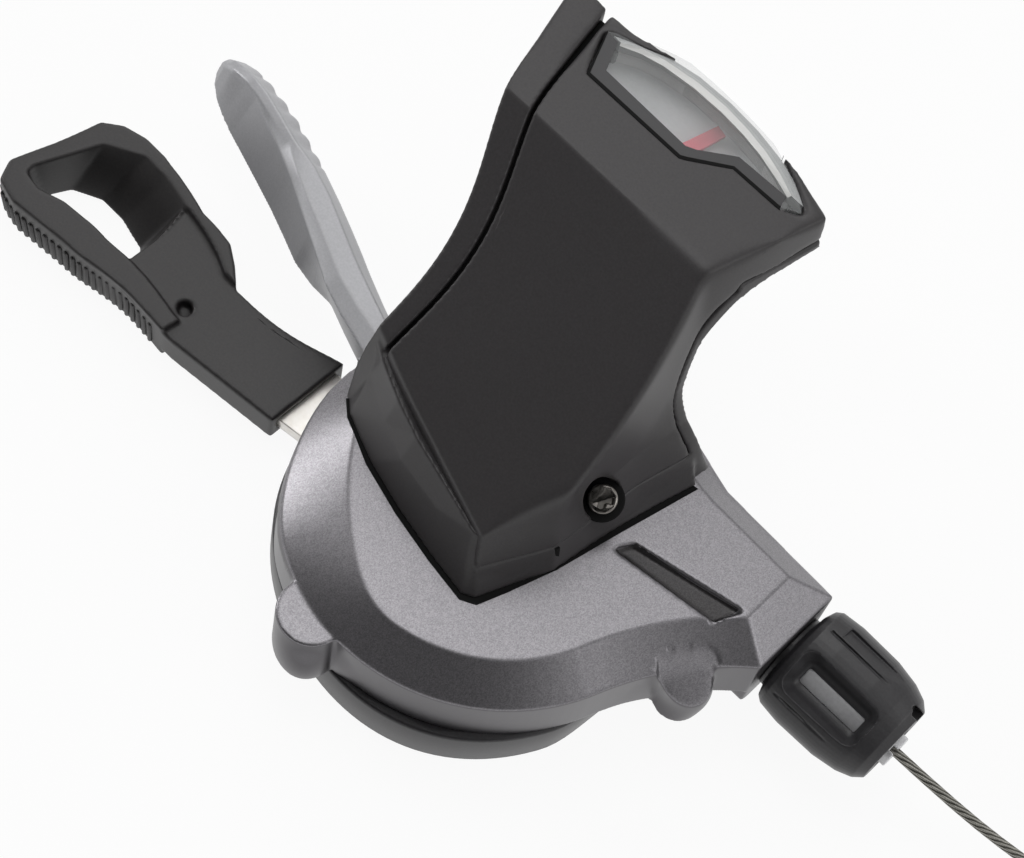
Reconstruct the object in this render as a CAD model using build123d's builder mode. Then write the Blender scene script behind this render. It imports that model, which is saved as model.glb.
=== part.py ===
from build123d import *
from math import asin, atan2, cos, degrees, hypot, radians, sin, sqrt, tan
import os

# A left-hand trigger shifter for a bicycle's front derailleur, with a gear display. Millimetres.
# X runs along the handlebar towards the middle of the bicycle, Y forward and Z along the levers' axle.
# The origin is the centre of the handlebar clamp's bore.
os.makedirs("parts", exist_ok=True)

# Handlebar clamp
BAR_D = 22.2
CLAMP_WALL = 2.5
CLAMP_W = 12.0
CLAMP_SLIT = 2.4
CLAMP_BOLT_D = 5.0
CLAMP_EAR = 10.0
CLAMP_ANGLE = -45.0
CLAMP_SCREW_D = 2.0

# The levers' axle seen from the clamp, and the floor that the lower cover stands on
AXLE_X = 12.0
AXLE_Y = -30.0
FLOOR_Z = -26.5

# Body: heights above the floor, and the outline round the axle
SEAM_Z = 7.5
RIM_Z = 15.6
TOP_Z = 18.7
WALL = 1.5
BODY_R = 24.8
LEFT_IN = 4.0
BEVEL_W = 4.6
BACK_Y = 17.0
ARM_BACK_Y = 20.5
NOSE_X = 33.5
NOSE_L = 8.0
NOSE_W = 13.0
NOSE_H = 12.0
BOTTOM_STEP = 0.9
LOBE_X = -4.2
LOBE_Y = -24.3
LOBE_R = 4.0
BOSS_X = 27.9
BOSS_Y = 0.4
BOSS_R = 3.0
COVER_POST_IN = 5.8
GROOVE = [(13.3, 3.4), (26.6, 5.3), (28.2, 8.7), (14.6, 5.6)]
GROOVE_DEPTH = 0.7
SCREW_D = 2.2
SCREW_HEAD_D = 4.0
POST_R = 2.3

# Clearances: a running fit on a shaft, and open space round what moves
RUN = 0.05
GAP = 0.3

# Axle and the stack on it
AXLE_D = 6.0
NUT_ACROSS = 9.0
PLATE_T = 2.0
LEVER_Z = 3.0
RATCHET_T = 1.6
RATCHET_R = 12.5
RATCHET_LOW = 1.5
DRUM_H = 4.4
DRUM_PITCH_R = 9.0
DRUM_FLANGE = 1.2
BASE_T = 1.4
STACK_GAP = 0.1
SPRING_R = 7.5
SPRING_T = 0.8
SPRING_H = 1.2

# Inner wire, its straight way out through the arm, and the guide that turns it to the drum
WIRE_D = 1.2
CABLE_Y = 13.0
CABLE_Z = 9.0
GUIDE_X = 26.0
GUIDE_BEND_R = 6.0
GUIDE_BORE = 1.6
NIPPLE_D = 4.0

# Main lever: a steel blade with a plastic loop for the thumb
LEVER_ANGLE = 188.0
LEVER_HUB_R = 8.0
BLADE_W = 8.8
BLADE_END = 42.0
SLEEVE_START = 25.0
SLEEVE_SLANT = 1.9
SLEEVE_END = 54.0
SLEEVE_W = 11.0
SLEEVE_T = 4.8
SLEEVE_HOLE_X = 43.4
SLEEVE_HOLE_R = 0.95
GRIP_Z = 0.4
GRIP_H = 6.8
# The loop seen from above, along the lever and across it: its outside, its hole at the top and at the bottom
LOOP_NEAR = [(43.4, 5.0), (47.0, 4.7), (58.0, 3.5), (66.5, 2.6), (69.4, 1.2), (70.3, -1.4)]
LOOP_FAR = [(68.2, -6.2), (66.2, -11.6), (63.8, -13.0), (60.6, -13.4), (57.5, -12.9), (54.6, -11.7)]
LOOP_FIN = [(49.8, -9.2), (44.8, -8.4), (42.4, -6.8), (40.4, -5.0)]
HOLE_TOP_NEAR = [(52.2, 0.45), (57.6, -0.5), (62.4, -1.0), (65.4, -0.6), (67.7, -1.4), (67.8, -2.4)]
HOLE_TOP_FAR = [(64.0, -9.4), (59.0, -11.4), (55.8, -10.6), (51.8, -8.6), (51.5, -3.9)]
HOLE_LOW_NEAR = [(53.0, 0.2), (57.6, -0.5), (62.4, -1.0), (65.0, -0.8), (66.6, -1.8), (66.6, -2.8)]
HOLE_LOW_FAR = [(65.2, -5.0), (61.6, -6.2), (58.0, -5.6), (54.2, -4.0), (53.4, -2.6)]
POCKET = [(52.3, 0.5), (43.9, 2.4), (38.0, 3.4), (38.0, -5.0), (42.6, -5.2), (44.8, -6.2), (51.9, -8.6), (51.6, -3.9)]

# Release lever, on a pin of its own
RELEASE_X = -12.0
RELEASE_Y = 0.0
RELEASE_ANGLE = 160.0
RELEASE_PIN_D = 3.0
RELEASE_Z = 12.0
RELEASE_T = 3.0
RELEASE_W = 5.0
RELEASE_WEB = 4.0
# The release lever along itself and across: its flat arm, then its leaning face at the top and at the bottom
ARM_LEFT = [(0, 3.2), (17.5, 3.4), (24.0, 2.1), (31.0, 1.4), (43.4, 0.9), (48.8, 1.0), (49.9, 0.5)]
ARM_RIGHT = [(49.5, -0.5), (47.6, -1.3), (44.5, -2.1), (37.5, -2.85), (25.0, -2.5), (12.0, -2.3), (0, -2.6)]
FACE_TOP_LEFT = [(18.0, 3.3), (24.0, 2.1), (31.0, 1.4), (43.4, 0.9), (49.0, 1.0)]
FACE_TOP_RIGHT = [(49.2, -0.5), (43.4, -0.8), (31.0, -0.5), (24.0, 0.3), (18.0, 1.4)]
FACE_LOW_LEFT = [(25.0, 3.2), (28.0, 4.2), (33.7, 4.1), (46.0, 4.4), (51.0, 3.2)]
FACE_LOW_RIGHT = [(50.4, 2.1), (46.0, 2.7), (33.7, 2.4), (28.0, 2.4), (25.0, 2.0)]

# Pawls
PAWL_PIN_D = 2.4
TAKE_UP_R = 16.4
TAKE_UP_ANGLE = 236.0
STOP_R = 16.0
STOP_ANGLE = 338.0
STOP_NOSE_ANGLE = 304.0

# Display: a ramp up from the body and over the bar, and a head with the window
DISPLAY_WALL = 1.4
BAR_ROOM = 14.3
RAMP_SLOPE = 31.8
RIDGE_Y = 21.3
HEAD_END_Y = 39.5
SEAM_GAP = 0.5
CRANK_R = 5.0
CRANK_ANGLE = 200.0
CRANK_PIN_D = 1.4
LINK_D = 1.0
LINK_LOW_Z = 22.0
LINK_HIGH_Z = 42.4
LINK_BEND = (-10.0, 12.5, 38.4)
LINK_EYE_R = 1.8
LINK_EYE_T = 1.0
LINK_PEG_R = 0.7
NEEDLE_X = -10.0
NEEDLE_Y = 24.0
NEEDLE_ANGLE = 77.0
NEEDLE_L = 12.4
NEEDLE_Z = 43.6
NEEDLE_ROOM = 3.1
HEAD_Z = NEEDLE_Z + NEEDLE_ROOM
NEEDLE_PIN_D = 1.8
DIAL_T = 0.6
DISPLAY_SCREW_R = 1.9
WINDOW_LEFT = (-23.2, 34.4)
WINDOW_RIGHT = (6.0, 33.8)
WINDOW_FAR = (-9.0, 39.0)
WINDOW_NEAR = [(3.8, 32.4), (-2.8, 32.2), (-7.4, 28.9), (-20.9, 29.0)]
LENS_GAP = 0.2
FAR_AWAY = 100.0

# Cable adjuster
BOLT_D = 5.5
BOLT_L = 19.0
BARREL_R = 5.6
BARREL_L = 14.6
BARREL_END_R = 4.6
WING_R = 6.9
WING_T = 5.8
WING_L = 8.5
COLLAR_R = 5.0
COLLAR_T = 0.8
SLOT_W = 2.4
SLOT_ANGLE = 112.0

# The free wire: its length by the usual standard, its way to the floor, and the coil of what is left
WIRE_LENGTH = 1800.0
WIRE_POINTS = [(57.0, 13.2, 8.8), (66.0, 14.8, 6.8), (76.0, 17.6, 4.6), (79.6, 18.5, 4.4)]
COIL_X = 83.0
COIL_Y = 29.9
COIL_Z = 0.6
COIL_H = 7.8
COIL_IN_R = 3.6
COIL_OUT_R = 10.8


def level(z):
    """The flat plane across the axle, z above the floor."""
    return Plane((AXLE_X, AXLE_Y, FLOOR_Z + z))


def across(x):
    """The plane across the handlebar's direction, x from the axle: its own x is Y and its own y is the height."""
    return Plane((AXLE_X + x, AXLE_Y, FLOOR_Z), x_dir=(0, 1, 0), z_dir=(1, 0, 0))


def turned(z, angle, x=0.0, y=0.0):
    """A flat plane z above the floor, with its own x along an arm at that angle, from the point x, y."""
    along = (cos(radians(angle)), sin(radians(angle)), 0)
    return Plane((AXLE_X + x, AXLE_Y + y, FLOOR_Z + z), x_dir=along, z_dir=(0, 0, 1))


def polar(radius, angle):
    return (radius * cos(radians(angle)), radius * sin(radians(angle)))


def body_profile(arm=True):
    """The body's outline, in a sketch on the axle: round in front and left, flat at the back, an arm to the right."""
    left_back = polar(BODY_R - LEFT_IN, 169)
    left_front = polar(BODY_R, 250)
    right_front = polar(BODY_R, 340)
    nose_front = (NOSE_X, CABLE_Y - 0.5 * NOSE_W)
    arm_back = (BACK_Y - 6.5, ARM_BACK_Y + 0.8)
    round_back = polar(BODY_R, 60)
    corner = (BACK_Y - 13.0, BACK_Y)
    part_way = 4.0 / hypot(arm_back[0] - corner[0], arm_back[1] - corner[1])
    bend = (
        corner[0] + (arm_back[0] - corner[0]) * part_way,
        corner[1] + (arm_back[1] - corner[1]) * part_way,
    )
    with BuildLine(Plane.XY) as outline:
        front = ThreePointArc(left_front, polar(BODY_R, 295), right_front)
        TangentArc(left_front, left_back, tangent=-(front % 0))
        if arm:
            TangentArc(right_front, nose_front, tangent=front % 1)
            Polyline(nose_front, (NOSE_X, ARM_BACK_Y), arm_back)
            into_bend = Line(arm_back, bend)
            TangentArc(bend, (corner[0] - 4.0, corner[1]), tangent=into_bend % 1)
            Polyline((corner[0] - 4.0, corner[1]), (-12.0, BACK_Y), left_back)
        else:
            ThreePointArc(right_front, polar(BODY_R, 20), round_back)
            Polyline(round_back, corner, (-12.0, BACK_Y), left_back)
    make_face(outline.edges())


COVER_SCREWS = [polar(BODY_R - COVER_POST_IN, 259.3), polar(BODY_R - COVER_POST_IN, 356.0), (9.0, BACK_Y - 2.5)]
lever_top = LEVER_Z + PLATE_T
ratchet_z = lever_top + STACK_GAP
drum_z = ratchet_z + RATCHET_T
drum_top = CABLE_Z + 0.5 * DRUM_H
base_z = RELEASE_Z + RELEASE_T + 2 * STACK_GAP
ceiling_z = TOP_Z - WALL
bevel_angle = degrees(atan2(BEVEL_W, TOP_Z - RIM_Z))
crank = polar(CRANK_R, CRANK_ANGLE)
crank_sweep = CenterArc((0, 0), CRANK_R, CRANK_ANGLE - 60, 78)
cavity_in = WALL + BEVEL_W * (ceiling_z - RIM_Z) / (TOP_Z - RIM_Z)
HEAD_FLOOR_Z = BAR_ROOM + DISPLAY_WALL - FLOOR_Z

# Upper cover: a painted shell with a bevelled top, a lobe, a boss and the arm that holds the adjuster.
with BuildPart() as upper_form:
    with BuildSketch(level(RIM_Z)):
        body_profile()
    extrude(amount=TOP_Z - RIM_Z, taper=bevel_angle)

with BuildPart() as upper_cover:
    add(upper_form.part)
    with BuildSketch(level(SEAM_Z)):
        body_profile()
        with Locations((LOBE_X, LOBE_Y)):
            Circle(LOBE_R)
        with Locations((BOSS_X, BOSS_Y)):
            Circle(BOSS_R)
    extrude(amount=RIM_Z - SEAM_Z)
    with BuildSketch(across(NOSE_X)):
        with Locations((CABLE_Y, CABLE_Z)):
            RectangleRounded(NOSE_W, NOSE_H, 2.0)
    extrude(amount=-NOSE_L)
    with BuildSketch(level(SEAM_Z - NOSE_H)):
        body_profile()
        offset(amount=-WALL, kind=Kind.INTERSECTION)
        with Locations((NOSE_X - NOSE_L, 0)):
            Rectangle(4 * BODY_R, 4 * BODY_R, align=(Align.MAX, Align.CENTER), mode=Mode.INTERSECT)
    extrude(amount=RIM_Z - 0.6 - SEAM_Z + NOSE_H, mode=Mode.SUBTRACT)
    with BuildSketch(level(RIM_Z - 0.7)):
        body_profile()
        offset(amount=-cavity_in, kind=Kind.INTERSECTION)
        with Locations((NOSE_X - NOSE_L, 0)):
            Rectangle(4 * BODY_R, 4 * BODY_R, align=(Align.MAX, Align.CENTER), mode=Mode.INTERSECT)
    extrude(amount=ceiling_z - RIM_Z + 0.7, mode=Mode.SUBTRACT)
    with BuildSketch(level(WALL)):
        with Locations(*COVER_SCREWS):
            RegularPolygon(POST_R, 8)
    extrude(amount=ceiling_z - WALL + 0.2)
    with BuildSketch(level(WALL)):
        with Locations(*COVER_SCREWS):
            Circle(0.5 * SCREW_D + RUN)
    extrude(amount=ceiling_z - 2 * WALL, mode=Mode.SUBTRACT)
    with BuildSketch(across(NOSE_X)):
        with Locations((CABLE_Y, CABLE_Z)):
            Circle(0.5 * BOLT_D + RUN)
    extrude(amount=-NOSE_L, mode=Mode.SUBTRACT)
    with BuildSketch(level(ceiling_z)):
        SlotArc(crank_sweep, CRANK_PIN_D + 1.2)
    extrude(amount=WALL, mode=Mode.SUBTRACT)
    with BuildSketch(level(TOP_Z)):
        with BuildLine():
            Polyline(*GROOVE, close=True)
        make_face()
    extrude(amount=-GROOVE_DEPTH, mode=Mode.SUBTRACT)
    with BuildSketch(turned(RELEASE_Z - GAP, RELEASE_ANGLE, RELEASE_X, RELEASE_Y)):
        with Locations((8, 0)):
            Rectangle(14, RELEASE_W + 7.0)
    extrude(amount=RELEASE_T + 2 * GAP, mode=Mode.SUBTRACT)
    with BuildSketch(level(base_z)):
        with Locations((-AXLE_X, BACK_Y - 8.0 - GAP)):
            Rectangle(CLAMP_W, 16.0, align=(Align.CENTER, Align.MIN))
    extrude(amount=BASE_T, mode=Mode.SUBTRACT)
upper_cover.part.label = "upper_cover"
export_step(upper_cover.part, "parts/upper_cover.step")

# Lower cover: a dark tray that the whole thing stands on, slotted where the main lever swings.
with BuildPart() as lower_cover:
    with BuildSketch(level(BOTTOM_STEP)):
        body_profile(arm=False)
    extrude(amount=SEAM_Z - BOTTOM_STEP)
    with BuildSketch(level(0)):
        body_profile(arm=False)
        offset(amount=-BOTTOM_STEP, kind=Kind.INTERSECTION)
    extrude(amount=BOTTOM_STEP)
    with BuildSketch(level(WALL)):
        body_profile(arm=False)
        offset(amount=-WALL, kind=Kind.INTERSECTION)
    extrude(amount=SEAM_Z, mode=Mode.SUBTRACT)
    with BuildSketch(level(LEVER_Z - GAP)):
        with BuildLine():
            start = polar(2 * BODY_R, 126)
            CenterArc((0, 0), 2 * BODY_R, 126, 82)
            Polyline(polar(2 * BODY_R, 208), (0, 0), start)
        make_face()
        Circle(LEVER_HUB_R, mode=Mode.SUBTRACT)
    extrude(amount=PLATE_T + 2 * GAP, mode=Mode.SUBTRACT)
    with BuildSketch(level(0)):
        with Locations(*COVER_SCREWS):
            Circle(0.5 * SCREW_D + RUN)
    extrude(amount=WALL, mode=Mode.SUBTRACT)
    with BuildSketch(level(0)):
        with Locations(*COVER_SCREWS):
            Circle(0.5 * SCREW_HEAD_D + RUN)
    extrude(amount=0.5 * WALL, mode=Mode.SUBTRACT)
lower_cover.part.label = "lower_cover"
export_step(lower_cover.part, "parts/lower_cover.step")

with BuildPart() as cover_screws:
    with BuildSketch(level(0)):
        with Locations(*COVER_SCREWS):
            Circle(0.5 * SCREW_HEAD_D)
    extrude(amount=0.5 * WALL)
    with BuildSketch(level(0.5 * WALL)):
        with Locations(*COVER_SCREWS):
            Circle(0.5 * SCREW_D)
    extrude(amount=SEAM_Z)
cover_screws.part.label = "cover_screws"
export_step(cover_screws.part, "parts/cover_screws.step")

# Base plate: steel, riveted to the axle and the pins, with a tab at the back that carries the clamp.
with BuildPart() as base_plate:
    with BuildSketch(level(base_z)):
        body_profile()
        offset(amount=-cavity_in - GAP, kind=Kind.INTERSECTION)
        Circle(BODY_R, mode=Mode.INTERSECT)
        with Locations((-AXLE_X, BACK_Y - 8.0)):
            Rectangle(CLAMP_W - 2 * GAP, 11.4, align=(Align.CENTER, Align.MIN))
        with Locations(*[(x - AXLE_X, BACK_Y + 1.7) for x in (-0.3 * CLAMP_W, 0.3 * CLAMP_W)]):
            Circle(0.5 * CLAMP_SCREW_D, mode=Mode.SUBTRACT)
        Circle(0.5 * AXLE_D, mode=Mode.SUBTRACT)
        SlotArc(crank_sweep, CRANK_PIN_D + 0.8, mode=Mode.SUBTRACT)
        with Locations((RELEASE_X, RELEASE_Y)):
            Circle(0.5 * RELEASE_PIN_D, mode=Mode.SUBTRACT)
        with Locations(polar(STOP_R, STOP_ANGLE)):
            Circle(0.5 * PAWL_PIN_D, mode=Mode.SUBTRACT)
        with Locations(*COVER_SCREWS):
            RegularPolygon(POST_R + GAP, 8, mode=Mode.SUBTRACT)
    extrude(amount=BASE_T)
base_plate.part.label = "base_plate"
export_step(base_plate.part, "parts/base_plate.step")

with BuildPart() as main_axle:
    with BuildSketch(level(WALL + STACK_GAP)):
        Circle(0.5 * AXLE_D)
    extrude(amount=base_z + BASE_T - WALL - STACK_GAP)
main_axle.part.label = "main_axle"
export_step(main_axle.part, "parts/main_axle.step")

with BuildPart() as axle_nut:
    with BuildSketch(level(WALL + STACK_GAP)):
        RegularPolygon(0.5 * NUT_ACROSS, 6, major_radius=False)
        Circle(0.5 * AXLE_D, mode=Mode.SUBTRACT)
    extrude(amount=LEVER_Z - WALL - 2 * STACK_GAP)
axle_nut.part.label = "axle_nut"
export_step(axle_nut.part, "parts/axle_nut.step")

# Handlebar clamp: a slit ring on a foot, screwed to the base plate's tab, and closed by one bolt.
clamp_r = 0.5 * BAR_D + CLAMP_WALL
clamp_left = Plane((-0.5 * CLAMP_W, 0, 0), x_dir=(0, 1, 0), z_dir=(1, 0, 0))
ear_along = (0, cos(radians(CLAMP_ANGLE)), sin(radians(CLAMP_ANGLE)))
ear_up = (0, -sin(radians(CLAMP_ANGLE)), cos(radians(CLAMP_ANGLE)))
bolt_r = clamp_r + 0.5 * (CLAMP_EAR - CLAMP_WALL)
ear_half = CLAMP_WALL + 0.5 * CLAMP_SLIT + 1.0
foot_z = FLOOR_Z + base_z + BASE_T
foot_y = AXLE_Y + BACK_Y + 0.4
clamp_screw_spots = [(-0.3 * CLAMP_W, foot_y + 1.3), (0.3 * CLAMP_W, foot_y + 1.3)]


def bolt_plane(up):
    """The plane across the clamp bolt, up along it from the slit."""
    middle = Vector(ear_along) * bolt_r
    return Plane(middle + Vector(ear_up) * up, x_dir=(1, 0, 0), z_dir=ear_up)


with BuildPart() as clamp_band:
    with BuildSketch(clamp_left):
        Circle(clamp_r)
        with Locations((foot_y, foot_z)):
            Rectangle(7.0, -foot_z - 0.45 * clamp_r, align=(Align.MIN, Align.MIN))
        with Locations(Location((0, 0), CLAMP_ANGLE)):
            with Locations((0.5 * BAR_D, 0)):
                Rectangle(CLAMP_EAR, 2 * ear_half, align=(Align.MIN, Align.CENTER))
        Circle(0.5 * BAR_D, mode=Mode.SUBTRACT)
        with Locations(Location((0, 0), CLAMP_ANGLE)):
            with Locations((0.4 * BAR_D, 0)):
                Rectangle(2 * CLAMP_EAR, CLAMP_SLIT, align=(Align.MIN, Align.CENTER), mode=Mode.SUBTRACT)
    extrude(amount=CLAMP_W)
    with BuildSketch(bolt_plane(-ear_half)):
        Circle(0.5 * CLAMP_BOLT_D + RUN)
    extrude(amount=2 * ear_half, mode=Mode.SUBTRACT)
    with BuildSketch(Plane.XY.offset(foot_z)):
        with Locations(*clamp_screw_spots):
            Circle(0.5 * CLAMP_SCREW_D)
    extrude(amount=3.0, mode=Mode.SUBTRACT)
clamp_band.part.label = "clamp_band"
export_step(clamp_band.part, "parts/clamp_band.step")

with BuildPart() as clamp_bolt:
    with BuildSketch(bolt_plane(-ear_half)):
        Circle(0.5 * CLAMP_BOLT_D)
    extrude(amount=2 * ear_half + 3.6)
    with BuildSketch(bolt_plane(-ear_half)):
        Circle(0.85 * CLAMP_BOLT_D)
    extrude(amount=-CLAMP_BOLT_D)
    with BuildSketch(bolt_plane(-ear_half - CLAMP_BOLT_D)):
        RegularPolygon(0.4 * CLAMP_BOLT_D, 6, major_radius=False)
    extrude(amount=0.6 * CLAMP_BOLT_D, mode=Mode.SUBTRACT)
clamp_bolt.part.label = "clamp_bolt"
export_step(clamp_bolt.part, "parts/clamp_bolt.step")

with BuildPart() as clamp_nut:
    with BuildSketch(bolt_plane(ear_half)):
        RegularPolygon(0.8 * CLAMP_BOLT_D, 6, major_radius=False)
        Circle(0.5 * CLAMP_BOLT_D, mode=Mode.SUBTRACT)
    extrude(amount=3.0)
clamp_nut.part.label = "clamp_nut"
export_step(clamp_nut.part, "parts/clamp_nut.step")

with BuildPart() as clamp_screws:
    with BuildSketch(Plane.XY.offset(foot_z - BASE_T)):
        with Locations(*clamp_screw_spots):
            Circle(0.5 * CLAMP_SCREW_D)
    extrude(amount=BASE_T + 3.0)
    with BuildSketch(Plane.XY.offset(foot_z - BASE_T)):
        with Locations(*clamp_screw_spots):
            Circle(0.8 * CLAMP_SCREW_D)
    extrude(amount=-1.6)
clamp_screws.part.label = "clamp_screws"
export_step(clamp_screws.part, "parts/clamp_screws.step")

# Main lever: the steel plate on the axle, and the plastic grip that is moulded over its end.
take_up_pin = polar(TAKE_UP_R, TAKE_UP_ANGLE - LEVER_ANGLE)
with BuildPart() as main_lever_plate:
    with BuildSketch(turned(LEVER_Z, LEVER_ANGLE)):
        Circle(LEVER_HUB_R)
        with Locations(take_up_pin):
            Circle(PAWL_PIN_D + 1.0)
        make_hull()
        Rectangle(BLADE_END, BLADE_W, align=(Align.MIN, Align.CENTER))
        Circle(0.5 * AXLE_D + RUN, mode=Mode.SUBTRACT)
        with Locations(take_up_pin):
            Circle(0.5 * PAWL_PIN_D, mode=Mode.SUBTRACT)
    extrude(amount=PLATE_T)
main_lever_plate.part.label = "main_lever_plate"
export_step(main_lever_plate.part, "parts/main_lever_plate.step")

blade_mid = LEVER_Z + 0.5 * PLATE_T
half_w = 0.5 * SLEEVE_W
sleeve_top = blade_mid + 0.5 * SLEEVE_T
sleeve_form = [
    (SLEEVE_START, -half_w),
    (SLEEVE_START + SLEEVE_SLANT, half_w),
    LOOP_NEAR[0],
    (SLEEVE_END, 0.7 * half_w),
    (SLEEVE_END, -0.7 * half_w),
    LOOP_FIN[-1],
    (LOOP_FIN[-1][0] - 3.0, LOOP_FIN[-1][1]),
]
with BuildPart() as main_lever_grip:
    with BuildSketch(turned(blade_mid - 0.5 * SLEEVE_T, LEVER_ANGLE)):
        with BuildLine():
            Polyline(*sleeve_form, close=True)
        make_face()
    extrude(amount=SLEEVE_T)
    with BuildSketch(turned(GRIP_Z, LEVER_ANGLE)):
        with BuildLine():
            Polyline(*LOOP_NEAR, *LOOP_FAR, *LOOP_FIN, close=True)
        make_face()
    extrude(amount=GRIP_H)
    with BuildSketch(turned(sleeve_top, LEVER_ANGLE)):
        with BuildLine():
            Polyline(*POCKET, close=True)
        make_face()
    extrude(amount=GRIP_H, mode=Mode.SUBTRACT)
    with BuildSketch(turned(GRIP_Z, LEVER_ANGLE)):
        with BuildLine():
            Polyline(*HOLE_LOW_NEAR, *HOLE_LOW_FAR, close=True)
        make_face()
    with BuildSketch(turned(GRIP_Z + GRIP_H, LEVER_ANGLE)):
        with BuildLine():
            Polyline(*HOLE_TOP_NEAR, *HOLE_TOP_FAR, close=True)
        make_face()
    loft(ruled=True, mode=Mode.SUBTRACT)
    with BuildSketch(turned(LEVER_Z, LEVER_ANGLE)):
        Rectangle(BLADE_END, BLADE_W, align=(Align.MIN, Align.CENTER))
    extrude(amount=PLATE_T, mode=Mode.SUBTRACT)
    with BuildSketch(turned(lever_top, LEVER_ANGLE)):
        with Locations((SLEEVE_HOLE_X, 0.07 * SLEEVE_W)):
            Circle(SLEEVE_HOLE_R)
    extrude(amount=GRIP_H, mode=Mode.SUBTRACT)
main_lever_grip.part.label = "main_lever_grip"
export_step(main_lever_grip.part, "parts/main_lever_grip.step")

# Take-up pawl on the main lever: its nose sits in a notch of the ratchet plate and drives it.
with BuildPart() as take_up_pin_part:
    with BuildSketch(turned(LEVER_Z, LEVER_ANGLE)):
        with Locations(take_up_pin):
            Circle(0.5 * PAWL_PIN_D)
    extrude(amount=PLATE_T + STACK_GAP + RATCHET_T)
take_up_pin_part.part.label = "take_up_pawl_pin"
export_step(take_up_pin_part.part, "parts/take_up_pawl_pin.step")

take_up_nose = polar(RATCHET_R - 0.4, TAKE_UP_ANGLE + 10)
with BuildPart() as take_up_pawl:
    with BuildSketch(level(ratchet_z)):
        with Locations(polar(TAKE_UP_R, TAKE_UP_ANGLE)):
            Circle(PAWL_PIN_D)
        with Locations(take_up_nose):
            Circle(0.7)
        make_hull()
        with Locations(polar(TAKE_UP_R, TAKE_UP_ANGLE)):
            Circle(0.5 * PAWL_PIN_D + RUN, mode=Mode.SUBTRACT)
    extrude(amount=RATCHET_T)
take_up_pawl.part.label = "take_up_pawl"
export_step(take_up_pawl.part, "parts/take_up_pawl.step")

# Cable drum with its wire groove, and the ratchet plate under it.
groove_root = DRUM_PITCH_R - 0.5 * WIRE_D
with BuildPart() as cable_drum:
    with BuildSketch(level(drum_z)):
        Circle(DRUM_PITCH_R + DRUM_FLANGE)
        Circle(0.5 * AXLE_D + RUN, mode=Mode.SUBTRACT)
    extrude(amount=drum_top - drum_z)
    with BuildSketch(level(CABLE_Z - 0.5 * WIRE_D - RUN)):
        Circle(DRUM_PITCH_R + 2 * DRUM_FLANGE)
        Circle(groove_root, mode=Mode.SUBTRACT)
    extrude(amount=WIRE_D + 2 * RUN, mode=Mode.SUBTRACT)
    with BuildSketch(level(drum_top)):
        with Locations(crank):
            Circle(0.5 * CRANK_PIN_D)
    extrude(amount=-2.0, mode=Mode.SUBTRACT)
    with BuildSketch(level(CABLE_Z - 0.5 * NIPPLE_D)):
        with Locations(polar(DRUM_PITCH_R - 0.2, 200)):
            Circle(0.5 * NIPPLE_D + RUN)
    extrude(amount=NIPPLE_D, mode=Mode.SUBTRACT)
cable_drum.part.label = "cable_drum"
export_step(cable_drum.part, "parts/cable_drum.step")

with BuildPart() as ratchet_plate:
    with BuildSketch(level(ratchet_z)):
        Circle(RATCHET_R)
        with BuildSketch(mode=Mode.SUBTRACT):
            with BuildLine():
                CenterArc((0, 0), RATCHET_R + 1, 300, 78)
                Line(polar(RATCHET_R + 1, 378), polar(RATCHET_R - RATCHET_LOW, 378))
                CenterArc((0, 0), RATCHET_R - RATCHET_LOW, 300, 78)
                Line(polar(RATCHET_R - RATCHET_LOW, 300), polar(RATCHET_R + 1, 300))
            make_face()
        with Locations(take_up_nose):
            Circle(1.7, mode=Mode.SUBTRACT)
        Circle(0.5 * AXLE_D + RUN, mode=Mode.SUBTRACT)
    extrude(amount=RATCHET_T)
ratchet_plate.part.label = "ratchet_plate"
export_step(ratchet_plate.part, "parts/ratchet_plate.step")

with BuildPart() as cable_nipple:
    with BuildSketch(level(CABLE_Z - 0.5 * NIPPLE_D + RUN)):
        with Locations(polar(DRUM_PITCH_R - 0.2, 200)):
            Circle(0.5 * NIPPLE_D)
    extrude(amount=NIPPLE_D - 2 * RUN)
cable_nipple.part.label = "cable_nipple"
export_step(cable_nipple.part, "parts/cable_nipple.step")

with BuildPart() as crank_pin:
    with BuildSketch(level(drum_top - 2.0)):
        with Locations(crank):
            Circle(0.5 * CRANK_PIN_D)
    extrude(amount=LINK_LOW_Z + LINK_EYE_T - drum_top + 2.2)
crank_pin.part.label = "crank_pin"
export_step(crank_pin.part, "parts/crank_pin.step")

# Stop pawl on a pin that hangs from the base plate: its nose holds the ratchet's step.
with BuildPart() as stop_pawl_pin:
    with BuildSketch(level(ratchet_z - STACK_GAP)):
        with Locations(polar(STOP_R, STOP_ANGLE)):
            Circle(0.5 * PAWL_PIN_D)
    extrude(amount=base_z + BASE_T - ratchet_z + STACK_GAP)
    with BuildSketch(level(ratchet_z + RATCHET_T + STACK_GAP)):
        with Locations(polar(STOP_R, STOP_ANGLE)):
            Circle(PAWL_PIN_D)
    extrude(amount=base_z - ratchet_z - RATCHET_T - STACK_GAP)
stop_pawl_pin.part.label = "stop_pawl_pin"
export_step(stop_pawl_pin.part, "parts/stop_pawl_pin.step")

with BuildPart() as stop_pawl:
    with BuildSketch(level(ratchet_z)):
        with Locations(polar(STOP_R, STOP_ANGLE)):
            Circle(PAWL_PIN_D)
        with Locations(polar(RATCHET_R - 0.5, STOP_NOSE_ANGLE)):
            Circle(0.6)
        make_hull()
        with Locations(polar(STOP_R, STOP_ANGLE)):
            Circle(0.5 * PAWL_PIN_D + RUN, mode=Mode.SUBTRACT)
    extrude(amount=RATCHET_T)
stop_pawl.part.label = "stop_pawl"
export_step(stop_pawl.part, "parts/stop_pawl.step")

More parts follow.
